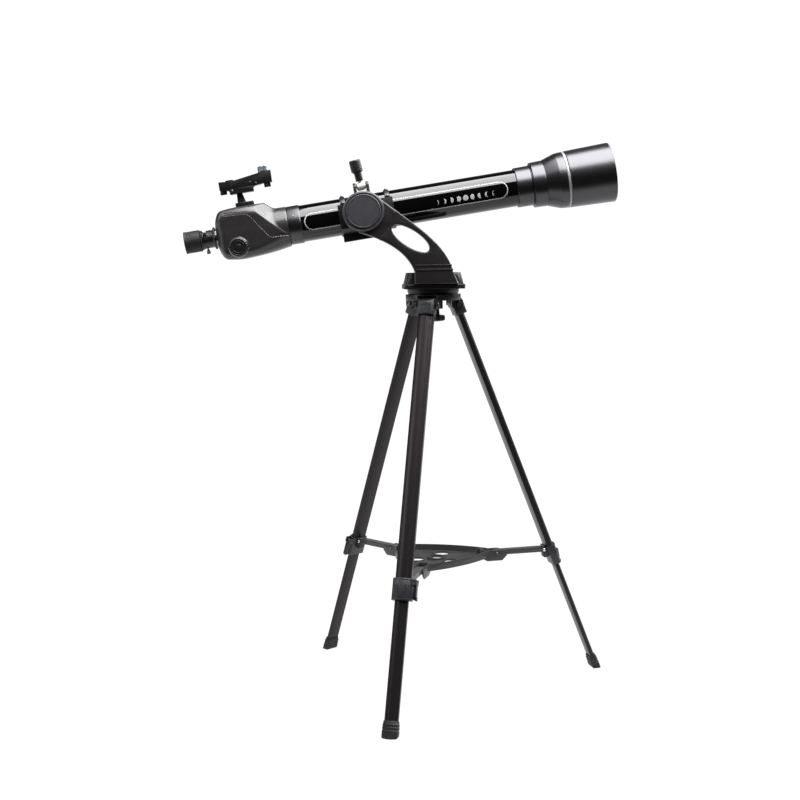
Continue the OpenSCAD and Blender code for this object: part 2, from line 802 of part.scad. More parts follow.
module finder_window() {
    hood = [[-189, 106], [-171.4, 106], [-171.4, 119.6], [-173, 122.2], [-176, 123.2], [-185, 123.2],
        [-187.6, 122.2], [-189, 119.6]];
    color([0.75, 0.85, 0.9, 0.35]) tube_frame() {
        difference() {
            translate([0, 7.2, 0]) rotate([90, 0, 0]) linear_extrude(14.4) polygon(hood);
            translate([0, 6, 0]) rotate([90, 0, 0]) linear_extrude(12) offset(delta = -1.2) polygon(hood);
            block([-200, -6, 107.2], [-180, 6, 118]);
        }
        intersection() {
            translate([-179.5, 0, 106.5]) rotate([0, 12, 0]) block([0, -6.1, 0], [1.6, 6.1, 19.6]);
            translate([0, 8, 0]) rotate([90, 0, 0]) linear_extrude(16) polygon(hood);
        }
    }
}

module finder_switch() {
    color([0.12, 0.12, 0.13]) tube_frame() translate([-261, 9.8, 97]) rotate([-90, 0, 0]) difference() {
        cylinder(h = 6, r = 6);
        for (a = [0 : 30 : 330]) rotate([0, 0, a]) translate([6.2, 0, 1]) cylinder(h = 6, r = 0.7);
    }
}

tripod_hub();
hinge_pins();
leg_top_cap(0);  // leg_top_cap_1
leg_top_cap(1);  // leg_top_cap_2
leg_top_cap(2);  // leg_top_cap_3
leg_upper(0);  // leg_upper_1
leg_upper(1);  // leg_upper_2
leg_upper(2);  // leg_upper_3
leg_clamp(0);  // leg_clamp_1
leg_clamp(1);  // leg_clamp_2
leg_clamp(2);  // leg_clamp_3
leg_lever(0);  // leg_lever_1
leg_lever(1);  // leg_lever_2
leg_lever(2);  // leg_lever_3
leg_lower(0);  // leg_lower_1
leg_lower(1);  // leg_lower_2
leg_lower(2);  // leg_lower_3
leg_foot(0);  // leg_foot_1
leg_foot(1);  // leg_foot_2
leg_foot(2);  // leg_foot_3
brace(0);  // brace_1
brace(1);  // brace_2
brace(2);  // brace_3
tray();
azimuth_base();
azimuth_washer();
centre_bolt();
centre_bolt_knob();
mount_arm();
altitude_cap();
altitude_axle();
altitude_nut();
cradle_saddle();
cradle_straps();
tube_screws();
clamp_bracket();
clamp_bolt();
clamp_knob();
main_tube();
rear_collar();
housing_near();
housing_far();
focus_knobs();
focus_pinion();
drawtube();
eyepiece_holder();
holder_screw_top();
holder_screw_low();
eyepiece_body();
eyecup();
eyepiece_lens();
lens_cell();
objective_lens();
dew_shield();
trim_ring();
finder_shoe();
finder_bracket();
finder_body();
finder_window();
finder_switch();
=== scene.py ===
"""Refractor telescope on a folding tripod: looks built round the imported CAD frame.
Local frames are in millimetres, world space is in metres."""
import json
from math import atan2, cos, pi, radians, sin, sqrt

import bmesh
import bpy
import numpy as np
from mathutils import Matrix, Vector


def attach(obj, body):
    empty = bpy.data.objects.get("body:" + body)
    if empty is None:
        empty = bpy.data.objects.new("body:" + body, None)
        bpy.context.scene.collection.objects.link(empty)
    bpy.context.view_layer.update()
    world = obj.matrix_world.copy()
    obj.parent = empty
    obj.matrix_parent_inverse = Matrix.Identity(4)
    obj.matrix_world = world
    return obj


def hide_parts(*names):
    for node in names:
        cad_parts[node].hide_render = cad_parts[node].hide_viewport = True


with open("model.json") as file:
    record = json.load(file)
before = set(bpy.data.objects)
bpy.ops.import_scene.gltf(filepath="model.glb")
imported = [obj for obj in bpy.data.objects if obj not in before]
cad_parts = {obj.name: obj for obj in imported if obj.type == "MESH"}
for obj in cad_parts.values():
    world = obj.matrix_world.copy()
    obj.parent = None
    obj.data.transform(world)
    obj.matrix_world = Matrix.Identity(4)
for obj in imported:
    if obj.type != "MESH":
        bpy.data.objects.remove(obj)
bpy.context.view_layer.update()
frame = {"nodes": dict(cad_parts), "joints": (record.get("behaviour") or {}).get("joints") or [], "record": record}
scene = bpy.context.scene
JOINTS = {j["name"]: j for j in frame["joints"]}
X, Y, Z = Vector((1, 0, 0)), Vector((0, 1, 0)), Vector((0, 0, 1))


def shift(x, y, z):
    return Matrix.Translation((x, y, z))


def rotation(degrees, axis):
    return Matrix.Rotation(radians(degrees), 4, axis)


# ---- Camera ----

FOCAL_MM, SENSOR_MM = 60.075, 36
HEADING, TILT_DOWN, ROLL = -0.04381, 0.101, -0.016
FROM_MAST = (-0.1863, -2.6635, 0.8504)


def make_camera():
    """Camera at the view's height, heading and tilt, placed from the foot of the mast."""
    data = bpy.data.cameras.new("view_camera")
    data.sensor_width = SENSOR_MM
    data.lens = FOCAL_MM
    data.clip_end = 60
    obj = bpy.data.objects.new("view_camera", data)
    scene.collection.objects.link(obj)
    turn = (Matrix.Rotation(HEADING, 4, "Z") @ Matrix.Rotation(pi / 2 - TILT_DOWN, 4, "X")
            @ Matrix.Rotation(ROLL, 4, "Z"))
    obj.matrix_world = shift(mast_x + FROM_MAST[0], mast_y + FROM_MAST[1], FROM_MAST[2]) @ turn
    scene.camera = obj


# ---- Local frames ----

def local_frame(origin, x, z):
    """Matrix from local millimetres to the row frame, from an origin and the local X and Z directions."""
    x, z = Vector(x).normalized(), Vector(z).normalized()
    m = Matrix((x, z.cross(x), z)).transposed().to_4x4()
    m.translation = origin
    return m @ Matrix.Scale(0.001, 4)


def joint_pos(name):
    return Vector(JOINTS[name]["pos_m"])


mast_x, mast_y, _ = joint_pos("azimuth")
make_camera()
MAST = local_frame((mast_x, mast_y, 0), X, Z)
along = Vector(JOINTS["dew_shield_slide"]["axis"])
TUBE = local_frame(joint_pos("altitude"), along, Vector((-along.z, 0, along.x)))
ALT = local_frame(joint_pos("altitude"), X, Z)
LEG, RADIAL = [], []
for leg in (1, 2, 3):
    tangent = Vector(JOINTS[f"leg_fold_{leg}"]["axis"])
    up_leg = -Vector(JOINTS[f"leg_extend_{leg}"]["axis"])
    LEG.append(local_frame(joint_pos(f"leg_fold_{leg}"), tangent.cross(up_leg), up_leg))
    RADIAL.append(local_frame((mast_x, mast_y, 0), tangent.cross(Z), Z))


# ---- Materials ----

def mapped(tree, source, span, smooth=False):
    """Output of a Map Range node that takes source from (low, high) to (new low, new high)."""
    node = tree.nodes.new("ShaderNodeMapRange")
    if smooth:
        node.interpolation_type = "SMOOTHSTEP"
    for socket, value in zip(("From Min", "From Max", "To Min", "To Max"), span):
        node.inputs[socket].default_value = value
    tree.links.new(source, node.inputs["Value"])
    return node.outputs["Result"]


def shader(name, color, rough, metallic=0.0, spec=0.5, coat=0.0, coat_rough=0.05,
           vary=0.12, vary_scale=60.0, rough_vary=0.06, bump=0.0, bump_scale=2500.0, bump_depth=0.0001,
           stretch=None):
    """Procedural finish: mottled colour, uneven roughness and a fine surface grain, in object space.
    stretch makes the grain run along a piece, from its own stored coordinates."""
    mat = bpy.data.materials.new(name)
    mat.use_nodes = True
    nodes, links = mat.node_tree.nodes, mat.node_tree.links
    bsdf = nodes["Principled BSDF"]
    for socket, value in (("Metallic", metallic), ("Specular IOR Level", spec), ("Coat Weight", coat),
                          ("Coat Roughness", coat_rough)):
        bsdf.inputs[socket].default_value = value
    if stretch:
        source = nodes.new("ShaderNodeAttribute")
        source.attribute_name = "local_mm"
        vector = source.outputs["Vector"]
        mapping = nodes.new("ShaderNodeMapping")
        mapping.inputs["Scale"].default_value = stretch
        links.new(vector, mapping.inputs["Vector"])
        vector = mapping.outputs["Vector"]
    else:
        vector = nodes.new("ShaderNodeTexCoord").outputs["Object"]

    def noise(scale, detail=3.0):
        n = nodes.new("ShaderNodeTexNoise")
        n.inputs["Scale"].default_value = scale
        n.inputs["Detail"].default_value = detail
        links.new(vector, n.inputs["Vector"])
        return n.outputs["Fac"]

    ramp = nodes.new("ShaderNodeValToRGB")
    for stop, position, factor in zip(ramp.color_ramp.elements, (0.3, 0.7), (1 - vary, 1 + vary)):
        stop.position = position
        stop.color = [c * factor for c in color] + [1]
    links.new(noise(vary_scale, 5.0), ramp.inputs["Fac"])
    links.new(ramp.outputs["Color"], bsdf.inputs["Base Color"])
    spread = (0, 1, max(0.0, rough - rough_vary), rough + rough_vary)
    links.new(mapped(mat.node_tree, noise(vary_scale * 2.3, 4.0), spread), bsdf.inputs["Roughness"])
    if bump:
        b = nodes.new("ShaderNodeBump")
        b.inputs["Strength"].default_value = bump
        b.inputs["Distance"].default_value = bump_depth
        links.new(noise(bump_scale, 2.0), b.inputs["Height"])
        links.new(b.outputs["Normal"], bsdf.inputs["Normal"])
    return mat


GLOSS_BLACK = shader("gloss_black_enamel", (0.0008, 0.0008, 0.0009), 0.045, spec=0.42, coat=0.15,
                     coat_rough=0.03, vary=0.2, rough_vary=0.015, bump=0.02, bump_scale=260, bump_depth=0.0002)
TUBE_INSIDE = shader("matte_black_inside", (0.004, 0.004, 0.004), 0.8, spec=0.2, bump=0.3, bump_scale=900)
GRAPHITE = shader("graphite_gloss", (0.07, 0.07, 0.074), 0.3, metallic=1, vary=0.05, vary_scale=900,
                  rough_vary=0.03, bump=0.06, bump_scale=1800, bump_depth=0.00005)
HOUSING = shader("graphite_satin", (0.017, 0.015, 0.0155), 0.31, spec=0.7, vary=0.1, bump=0.18, bump_scale=2600,
                 bump_depth=0.00006)
COLLAR = shader("collar_semi_gloss", (0.07, 0.07, 0.073), 0.33, metallic=1, vary=0.06, bump=0.06, bump_scale=2000,
                bump_depth=0.00005)
ARM = shader("arm_satin_black", (0.006, 0.0045, 0.0048), 0.4, spec=0.5, bump=0.22, bump_scale=2200,
             bump_depth=0.00008)
CAP_FACE = shader("cap_fine_texture", (0.026, 0.024, 0.029), 0.55, spec=0.4, bump=0.45, bump_scale=3200,
                  bump_depth=0.0001)
CAP_RING = shader("cap_ring_satin", (0.032, 0.031, 0.036), 0.42, bump=0.2, bump_scale=2600)
BLACK_PLASTIC = shader("moulded_black", (0.0045, 0.0045, 0.005), 0.36, bump=0.2, bump_scale=2400,
                       bump_depth=0.00008)
CLAMP_PLASTIC = shader("clamp_blue_grey", (0.014, 0.0145, 0.018), 0.4, bump=0.22, bump_scale=2000,
                       bump_depth=0.0001)
LEG_METAL = shader("anodised_leg", (0.024, 0.02, 0.021), 0.34, metallic=0.75, vary=0.14, vary_scale=1.0,
                   rough_vary=0.05, bump=0.12, bump_scale=3.0, bump_depth=0.00004, stretch=(2.2, 2.2, 0.012))
RUBBER = shader("soft_rubber", (0.005, 0.005, 0.0055), 0.55, spec=0.35, bump=0.5, bump_scale=1500,
                bump_depth=0.00015)
CHROME = shader("chrome", (0.75, 0.75, 0.77), 0.1, metallic=1, vary=0.03, rough_vary=0.04)
STEEL = shader("turned_steel", (0.45, 0.45, 0.46), 0.28, metallic=1, vary=0.08, bump=0.1, bump_scale=1800)
DARK_STEEL = shader("black_oxide_screw", (0.13, 0.13, 0.14), 0.3, metallic=1, vary=0.1, bump=0.1, bump_scale=1800)
NICKEL = shader("satin_nickel", (0.78, 0.74, 0.66), 0.42, metallic=0.7, vary=0.05)
BRASS = shader("plated_brass", (0.72, 0.62, 0.42), 0.2, metallic=1, vary=0.06)
BRACE = shader("painted_steel", (0.05, 0.05, 0.052), 0.33, metallic=0.3, bump=0.12, bump_scale=1500,
               bump_depth=0.00006)
TRAY = shader("tray_satin", (0.024, 0.023, 0.024), 0.36, spec=0.5, bump=0.2, bump_scale=2000, bump_depth=0.00008)
SILVER = shader("silver_print", (0.36, 0.36, 0.36), 0.45, vary=0.04)
HOUSING_TRIM = shader("housing_trim_grey", (0.2, 0.2, 0.2), 0.32, metallic=0.6, vary=0.04)
RING_METAL = shader("trim_ring_satin", (0.3, 0.3, 0.31), 0.42, metallic=0.55, vary=0.04)
EYEPIECE = shader("eyepiece_black", (0.005, 0.005, 0.006), 0.3, coat=0.1, coat_rough=0.15, bump=0.08,
                  bump_scale=1800)


def glass(name, tint, coat_tint, see_through):
    """Thin coated glass: a clear see-through part under a coloured reflection."""
    mat = bpy.data.materials.new(name)
    mat.use_nodes = True
    nodes, links = mat.node_tree.nodes, mat.node_tree.links
    nodes.remove(nodes["Principled BSDF"])
    out = nodes["Material Output"]
    clear = nodes.new("ShaderNodeBsdfTransparent")
    clear.inputs["Color"].default_value = tint
    shine = nodes.new("ShaderNodeBsdfGlossy")
    shine.inputs["Roughness"].default_value = 0.02
    ramp = nodes.new("ShaderNodeValToRGB")
    ramp.color_ramp.elements[0].color = coat_tint
    ramp.color_ramp.elements[1].color = (1, 1, 1, 1)
    facing = nodes.new("ShaderNodeLayerWeight")
    facing.inputs["Blend"].default_value = 0.35
    links.new(facing.outputs["Facing"], ramp.inputs["Fac"])
    links.new(ramp.outputs["Color"], shine.inputs["Color"])
    mix = nodes.new("ShaderNodeMixShader")
    links.new(mapped(mat.node_tree, facing.outputs["Fresnel"], (0, 1, 1 - see_through, 0.9)), mix.inputs["Fac"])
    links.new(clear.outputs["BSDF"], mix.inputs[1])
    links.new(shine.outputs["BSDF"], mix.inputs[2])
    links.new(mix.outputs["Shader"], out.inputs["Surface"])
    return mat


LENS_GLASS = glass("coated_lens", (0.75, 0.8, 0.86, 1), (0.35, 0.3, 0.75, 1), 0.8)
WINDOW_GLASS = glass("finder_window_glass", (0.9, 0.93, 0.95, 1), (0.85, 0.9, 0.95, 1), 0.72)


# ---- Mesh helpers ----
# Outlines are lists of 2-D points. Parts are (vertices, faces). Both are in local millimetres.

def rounded(points, radius, steps=3, closed=True):
    """Polygon with its corners rounded. A point may carry its own radius as a third number."""
    out, count = [], len(points)
    for k, point in enumerate(points):
        r = point[2] if len(point) > 2 else radius
        p = Vector(point[:2])
        if r <= 0 or (not closed and k in (0, count - 1)):
            out.append(tuple(p))
            continue
        back, ahead = Vector(points[k - 1][:2]) - p, Vector(points[(k + 1) % count][:2]) - p
        if back.length < 1e-6 or ahead.length < 1e-6:
            continue
        turn = back.angle(ahead)
        if turn > pi - 0.02:
            out.append(tuple(p))
            continue
        cut = min(r / max(0.05, abs(sin(turn / 2) / cos(turn / 2))), 0.48 * back.length,
                  0.48 * ahead.length)
        a, b = p + back.normalized() * cut, p + ahead.normalized() * cut
        for i in range(steps + 1):
            t = i / steps
            out.append(tuple(a * (1 - t) ** 2 + p * 2 * t * (1 - t) + b * t * t))
    return out


AXES = {"x": lambda s, r, a: (s, -r * sin(a), r * cos(a)),
        "y": lambda s, r, a: (r * cos(a), s, r * sin(a)),
        "z": lambda s, r, a: (r * cos(a), r * sin(a), s)}


def spin(profile, axis="x", count=96, wave=None, closed=True):
    """Turned shape from (along, radius) points. wave(angle, along, radius) adds to the radius."""
    put = AXES[axis]
    verts, faces, m = [], [], len(profile)
    for k in range(count):
        a = 2 * pi * k / count
        for s, r in profile:
            verts.append(put(s, r + (wave(a, s, r) if wave and r > 0.01 else 0), a))
    for k in range(count):
        n = (k + 1) % count
        for i in range(m if closed else m - 1):
            j = (i + 1) % m
            faces.append((k * m + i, k * m + j, n * m + j, n * m + i))
    return verts, faces


def cyl(r, s1, s2, axis="z", count=48, edge=0.3):
    """Solid cylinder with softened rims."""
    e = min(edge, r * 0.4, abs(s2 - s1) * 0.4)
    return spin([(s1, 0), (s1, r - e), (s1 + e * 0.3, r - e * 0.3), (s1 + e, r), (s2 - e, r),
                 (s2 - e * 0.3, r - e * 0.3), (s2, r - e), (s2, 0)], axis, count, closed=False)


def prism(loop, z1, z2):
    """Outline pushed along Z, with flat ends."""
    n = len(loop)
    verts = [(x, y, z) for z in (z1, z2) for x, y in loop]
    sides = [(k, (k + 1) % n, n + (k + 1) % n, n + k) for k in range(n)]
    return verts, sides + [tuple(range(n))[::-1], tuple(range(n, 2 * n))]


def block(a, b):
    """Box between two opposite corners."""
    (x1, y1, z1), (x2, y2, z2) = a, b
    return prism([(x1, y1), (x2, y1), (x2, y2), (x1, y2)], z1, z2)


def inset(loop, d, hole=False):
    """Outline moved inwards by d, or outwards for a hole."""
    area = sum(a[0] * b[1] - b[0] * a[1] for a, b in zip(loop, loop[1:] + loop[:1]))
    sign = (1 if area > 0 else -1) * (-1 if hole else 1)
    out = []
    for k, p in enumerate(loop):
        t = (Vector(loop[(k + 1) % len(loop)]) - Vector(loop[k - 1])).normalized()
        out.append((p[0] - t.y * d * sign, p[1] + t.x * d * sign))
    return out


def plate(loops, z1, z2, bevel=0.5, steps=2):
    """Flat plate with rounded rims; the first loop is its outline and the rest are holes."""
    curve = bpy.data.curves.new("plate", "CURVE")
    curve.dimensions, curve.fill_mode = "2D", "BOTH"
    for k, loop in enumerate(loops):
        moved_loop = inset(loop, bevel, hole=k > 0)
        spline = curve.splines.new("POLY")
        spline.points.add(len(moved_loop) - 1)
        spline.points.foreach_set("co", [c for x, y in moved_loop for c in (x, y, 0, 1)])
        spline.use_cyclic_u = True
    curve.extrude = (z2 - z1) / 2 - bevel
    curve.bevel_depth, curve.bevel_resolution = bevel, steps
    holder = bpy.data.objects.new("plate", curve)
    mesh = bpy.data.meshes.new_from_object(holder)
    middle = (z1 + z2) / 2
    verts = [tuple(v.co + Vector((0, 0, middle))) for v in mesh.vertices]
    faces = [tuple(p.vertices) for p in mesh.polygons]
    bpy.data.objects.remove(holder)
    bpy.data.curves.remove(curve)
    bpy.data.meshes.remove(mesh)
    return verts, faces


def moved(part, matrix):
    return [tuple(matrix @ Vector(v)) for v in part[0]], part[1]


def all_moved(parts, matrix):
    return [moved(part, matrix) for part in parts]


def ribbon(path, ups, width, height, sink=0.15, closed=False):
    """Raised strip along a path; ups are the surface's normals."""
    n, verts, faces = len(path), [], []
    path = [Vector(p) for p in path]
    section = ((-1, -sink), (-1, height * 0.5), (-0.7, height), (0.7, height), (1, height * 0.5), (1, -sink))
    m = len(section)
    for k in range(n):
        a = path[(k - 1) % n if closed else max(k - 1, 0)]
        b = path[(k + 1) % n if closed else min(k + 1, n - 1)]
        up = Vector(ups[k]).normalized()
        side = (b - a).cross(up).normalized() * width / 2
        verts += [tuple(path[k] + side * f + up * h) for f, h in section]
    for k in range(n if closed else n - 1):
        j = (k + 1) % n
        faces += [(k * m + i, k * m + (i + 1) % m, j * m + (i + 1) % m, j * m + i) for i in range(m)]
    if not closed:
        faces += [tuple(range(m)), tuple(range((n - 1) * m, n * m))[::-1]]
    return verts, faces


def finish_piece(name, bm, material, body, replaces, bevel, angle):
    """Clean the mesh, round its sharp edges by bevel millimetres and make it a piece of the model."""
    bmesh.ops.remove_doubles(bm, verts=bm.verts, dist=2e-7)
    bmesh.ops.dissolve_degenerate(bm, edges=bm.edges, dist=1e-7)
    bmesh.ops.recalc_face_normals(bm, faces=bm.faces)
    if bevel:
        sharp = [e for e in bm.edges if len(e.link_faces) == 2 and e.calc_face_angle(0) > radians(angle)]
        bmesh.ops.bevel(bm, geom=sharp, offset=bevel * 0.001, offset_type="OFFSET", segments=2, profile=0.5,
                        affect="EDGES", clamp_overlap=True)
    mesh = bpy.data.meshes.new(name)
    bm.to_mesh(mesh)
    bm.free()
    mesh.shade_smooth()
    mesh.set_sharp_from_angle(angle=radians(angle))
    mesh.materials.append(material)
    obj = bpy.data.objects.new(name, mesh)
    scene.collection.objects.link(obj)
    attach(obj, body)
    if replaces:
        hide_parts(*replaces)
    return obj


def piece(name, parts, place, material, body, replaces=(), bevel=0.0, angle=35):
    """One object from (vertices, faces) parts in a local frame."""
    bm = bmesh.new()
    store = bm.verts.layers.float_vector.new("local_mm")
    for verts, faces in parts if isinstance(parts, list) else [parts]:
        made = []
        for v in verts:
            vert = bm.verts.new(place @ Vector(v))
            vert[store] = Vector(v)
            made.append(vert)
        for f in faces:
            try:
                bm.faces.new([made[i] for i in f])
            except ValueError:
                pass
    return finish_piece(name, bm, material, body, replaces, bevel, angle)


def refined(node, material, bevel=0.5, angle=30):
    """Copy of a CAD node's shape with flat faces merged and its edges rounded, which stands for the node."""
    source = frame["nodes"][node]
    bm = bmesh.new()
    bm.from_mesh(source.data)
    bmesh.ops.remove_doubles(bm, verts=bm.verts, dist=2e-6)
    bmesh.ops.dissolve_limit(bm, angle_limit=radians(0.6), verts=bm.verts, edges=bm.edges)
    body = next(b for b, members in frame["record"]["behaviour"]["bodies"].items() if node in members)
    return finish_piece(node + "_shape", bm, material, body, [node], bevel, angle)


# ---- Main tube and its printed outline ----

TUBE_R, TUBE_BORE = 36.0, 34.7
TUBE_REAR, TUBE_FRONT = -146, 330


def on_tube(s, arc, side=1, r=TUBE_R):
    """Point on the tube at station s and an arc length up from its side line. Side 1 is the arm's side."""
    a = pi / 2 - arc / TUBE_R
    return s, -side * r * sin(a), r * cos(a)


shell = [(TUBE_REAR, TUBE_BORE), (TUBE_REAR, TUBE_R), (TUBE_FRONT, TUBE_R), (TUBE_FRONT, TUBE_BORE)]
piece("tube_shell", spin(shell, count=224), TUBE, GLOSS_BLACK, "optical_tube", ["main_tube"])
piece("tube_flocking", spin([(-145.9, 34.68), (329.9, 34.68), (329.9, 34.4), (-145.9, 34.4)], count=96), TUBE,
      TUBE_INSIDE, "optical_tube")


def conformal(rows, side, lift=0.06):
    """Thin skin on the tube from rows of (s, arc) points."""
    verts, faces, n = [], [], len(rows[0])
    for r in (TUBE_R + lift, TUBE_R - 0.1):
        verts += [on_tube(s, arc, side, r) for row in rows for s, arc in row]
    m = len(rows)
    for layer in (0, m * n):
        for j in range(m - 1):
            for i in range(n - 1):
                q = layer + j * n + i
                faces.append((q, q + 1, q + n + 1, q + n))
    rim = (list(range(n)) + [j * n + n - 1 for j in range(1, m)]
           + [(m - 1) * n + i for i in range(n - 2, -1, -1)] + [j * n for j in range(m - 2, 0, -1)])
    for k, q in enumerate(rim):
        p = rim[(k + 1) % len(rim)]
        faces.append((q, p, m * n + p, m * n + q))
    return verts, faces


def race_track(side):
    """Printed line round a long panel with half-round ends."""
    rear, front, half, line_width = -98.5, 270.5, 16.4, 1.7
    steps, turns = 120, [pi * k / 28 for k in range(1, 28)]
    path = [(rear + (front - rear) * k / steps, half) for k in range(steps + 1)]
    path += [(front + half * sin(t), half * cos(t)) for t in turns]
    path += [(front - (front - rear) * k / steps, -half) for k in range(steps + 1)]
    path += [(rear - half * sin(t), -half * cos(t)) for t in turns]
    points = [on_tube(s, arc, side) for s, arc in path]
    return ribbon(points, [(0, p[1], p[2]) for p in points], line_width, 0.06, sink=0.1, closed=True)


MOON_R, MOON_STEP, MOON_ARC, MIDDLE_MOON_S = 5.4, 14.6, -4.0, 203
PHASES = (0.13, 0.3, 0.5, 0.74, 1.0, 0.74, 0.5, 0.3, 0.13)


def moon(phase, side):
    """Lit part of a disc at station 0, from a thin crescent (phase near 0) to full (phase 1)."""
    rows = []
    for j in range(15):
        v = -1 + 2 * (j + 0.02) / 14.04    # stops just short of both poles
        w = sqrt(max(0.0, 1 - v * v))
        left, right = w * (1 - 2 * phase), w
        rows.append([(MOON_R * (left + (right - left) * i / 8), MOON_ARC + MOON_R * v) for i in range(9)])
    return conformal(rows, side)


for side, label in ((1, "near"), (-1, "far")):
    piece(f"panel_outline_{label}", race_track(side), TUBE, SILVER, "optical_tube")
    motif = []
    for k, phase in enumerate(PHASES):
        s0 = MIDDLE_MOON_S + side * (k - 4) * MOON_STEP
        verts, faces = moon(phase, side)
        mirror = -1 if (k > 4) == (side > 0) else 1
        motif.append(([(s0 + mirror * v[0], v[1], v[2]) for v in verts], faces))
    piece(f"moon_phases_{label}", motif, TUBE, SILVER, "optical_tube")

# ---- Collars, lens cell, dew shield ----

piece("rear_collar_shape",
      spin(rounded([(-147, 36), (-147, 37.6), (-124.2, 37.8), (-122, 36.9), (-122, 36)], 0.5), count=160),
      TUBE, COLLAR, "optical_tube", ["rear_collar"])

# Profiles hold (station along the axis, radius, and an own corner radius where it differs).
cell = [(307, 36, 0), (307, 38.4, 0.5), (308.4, 39), (336.8, 39.4), (338, 38.8), (338.1, 37.8), (339.3, 37.8),
        (339.4, 43.7), (340.4, 44.3), (362.6, 45.1), (363.8, 44.8), (363.9, 43.9), (365, 43.9),
        (365.2, 45.2, 0.6), (390.5, 53.9, 5), (399, 54.9, 2), (404.9, 55, 0.4), (404.9, 50, 0), (418, 50, 0.4),
        (418, 46, 0.4), (372, 40, 1), (366, 36), (366, 35, 0), (348, 35, 0), (348, 33), (TUBE_FRONT, 33, 0),
        (TUBE_FRONT, TUBE_R, 0)]
piece("lens_cell_shape", spin(rounded(cell, 0.35), count=192), TUBE, GRAPHITE, "optical_tube", ["lens_cell"],
      angle=30)
shield = [(410.4, 50.3, 0), (410.4, 54.9, 0.4), (411.4, 55.7, 0.4), (498.2, 58.45, 0.8), (500, 57.7, 0.8),
          (500, 56.2, 0.3), (492, 56.0, 0.2)]
for k in range(23):    # light-trap grooves inside
    s, r = 490 - k * 3, k * 0.09
    shield += [(s, 55.7 - r, 0), (s - 1.2, 55.7 - r, 0), (s - 1.5, 55.2 - r, 0), (s - 2.7, 55.2 - r, 0)]
shield += [(419.8, 53.0, 0), (419.2, 50.3, 0)]
piece("dew_shield_shape", spin(rounded(shield, 0.3), count=192), TUBE, GRAPHITE, "dew_shield", ["dew_shield"],
      angle=30)
trim = [(405, 50), (405, 54.6), (406, 55.4), (408.9, 55.6), (409.7, 55.1), (409.7, 50)]
piece("trim_ring_shape", spin(rounded(trim, 0.5), count=192), TUBE, RING_METAL, "optical_tube", ["trim_ring"])
LENS_R, LENS_BACK, LENS_FRONT = 35, 350, 363.6
lens = ([(LENS_BACK, 0)] + [(LENS_BACK + 4 * (r / LENS_R) ** 2, r) for r in range(5, LENS_R + 1, 5)]
        + [(LENS_FRONT - 5.6 * (r / LENS_R) ** 2, r) for r in range(LENS_R, 0, -5)] + [(LENS_FRONT, 0)])
piece("objective_glass", spin(lens, count=128, closed=False), TUBE, LENS_GLASS, "optical_tube", ["objective_lens"])
retainer = [(359.6, 31.5), (359.6, 34.9), (365.6, 34.9), (365.6, 33.2), (364.4, 32), (362, 31.5)]
piece("objective_retainer", spin(rounded(retainer, 0.3), count=128), TUBE, BLACK_PLASTIC, "optical_tube")
baffle = spin([(260, 34.5), (260, 27.5), (261, 27.3), (262, 34.5)], count=96)
piece("tube_baffles", [baffle, moved(baffle, shift(-140, 0, 0))], TUBE, TUBE_INSIDE, "optical_tube")

# ---- Rear housing ----

def smooth_curve(table):
    """Smooth function through (x, y) points, with a Hermite cubic between each two."""
    xs, ys = np.array(table, float).T
    slopes = np.gradient(ys, xs)

    def at(x):
        k = int(min(max(np.searchsorted(xs, x) - 1, 0), len(xs) - 2))
        h = xs[k + 1] - xs[k]
        t = min(max((x - xs[k]) / h, 0.0), 1.0)
        return float((2 * t ** 3 - 3 * t * t + 1) * ys[k] + (t ** 3 - 2 * t * t + t) * h * slopes[k]
                     + (3 * t * t - 2 * t ** 3) * ys[k + 1] + (t ** 3 - t * t) * h * slopes[k + 1])
    return at


def soft_min(a, b, k):
    """Smaller of a and b, blended where they are within k."""
    h = max(k - abs(a - b), 0) / k
    return min(a, b) - h * h * k / 4


def soft_max(a, b, k):
    return -soft_min(-a, -b, k)


# Half width, depth below and height above the axis, and corner radius, by station.
half_width = smooth_curve([(-271, 40.6), (-250, 41), (-225, 41), (-200, 40.6), (-170, 39.2), (-148, 38)])
belly = smooth_curve([(-271, 46.6), (-254, 49), (-222, 48.5), (-200, 46.9), (-180, 44.8), (-165, 42.6),
                      (-148, 38.8)])
roof = smooth_curve([(-271, 49.8), (-258, 51.2), (-243, 52), (-200, 52), (-148, 52)])
corner = smooth_curve([(-271, 17), (-240, 18), (-205, 22), (-175, 32), (-148, 37.2)])
DOME_S, DOME_DEPTH, DOME_POWER = -271.0, 20.0, 2.5
NECK_S, NECK_R = -148.6, 38.7


def box_radius(s, a):
    """Distance from the axis to a rounded box section, in direction a from the top."""
    w, c = half_width(s), corner(s)
    dy, dn = abs(sin(a)), cos(a)
    h = roof(s) if dn > 0 else belly(s)
    dn = abs(dn)
    r = min(w / max(dy, 1e-9), h / max(dn, 1e-9))
    cy, cn = w - c, h - c
    if r * dy > cy and r * dn > cn:
        mid = dy * cy + dn * cn
        r = mid + sqrt(max(0.0, mid * mid - cy * cy - cn * cn + c * c))
    return r


def housing_radius(s, a):
    """Box body with a flat cut across its top and one over each upper corner, down to a round neck."""
    dy, dn = abs(sin(a)), cos(a)
    side_cut = (-100 - 0.82 * s) / max(dy + 0.746 * dn, 0.05)
    top_cut = (-111.6 - 0.87 * s) / max(dn, 0.05)
    r = soft_min(box_radius(s, a), soft_min(side_cut, top_cut, 2.0), 1.5)
    neck = NECK_R - 0.6 * min(max((s + 179) / 31, 0), 1)
    seam = 0.45 if abs(sin(a)) < 1e-6 else 0
    return soft_max(r, neck, 5.0) - seam


def housing_hole(a):
    """Opening for the drawtube, with a notch below it for the rack."""
    if cos(a) < 0:
        return max(17.1, min(20.9 / -cos(a), 3.7 / max(abs(sin(a)), 1e-6)))
    return 17.1


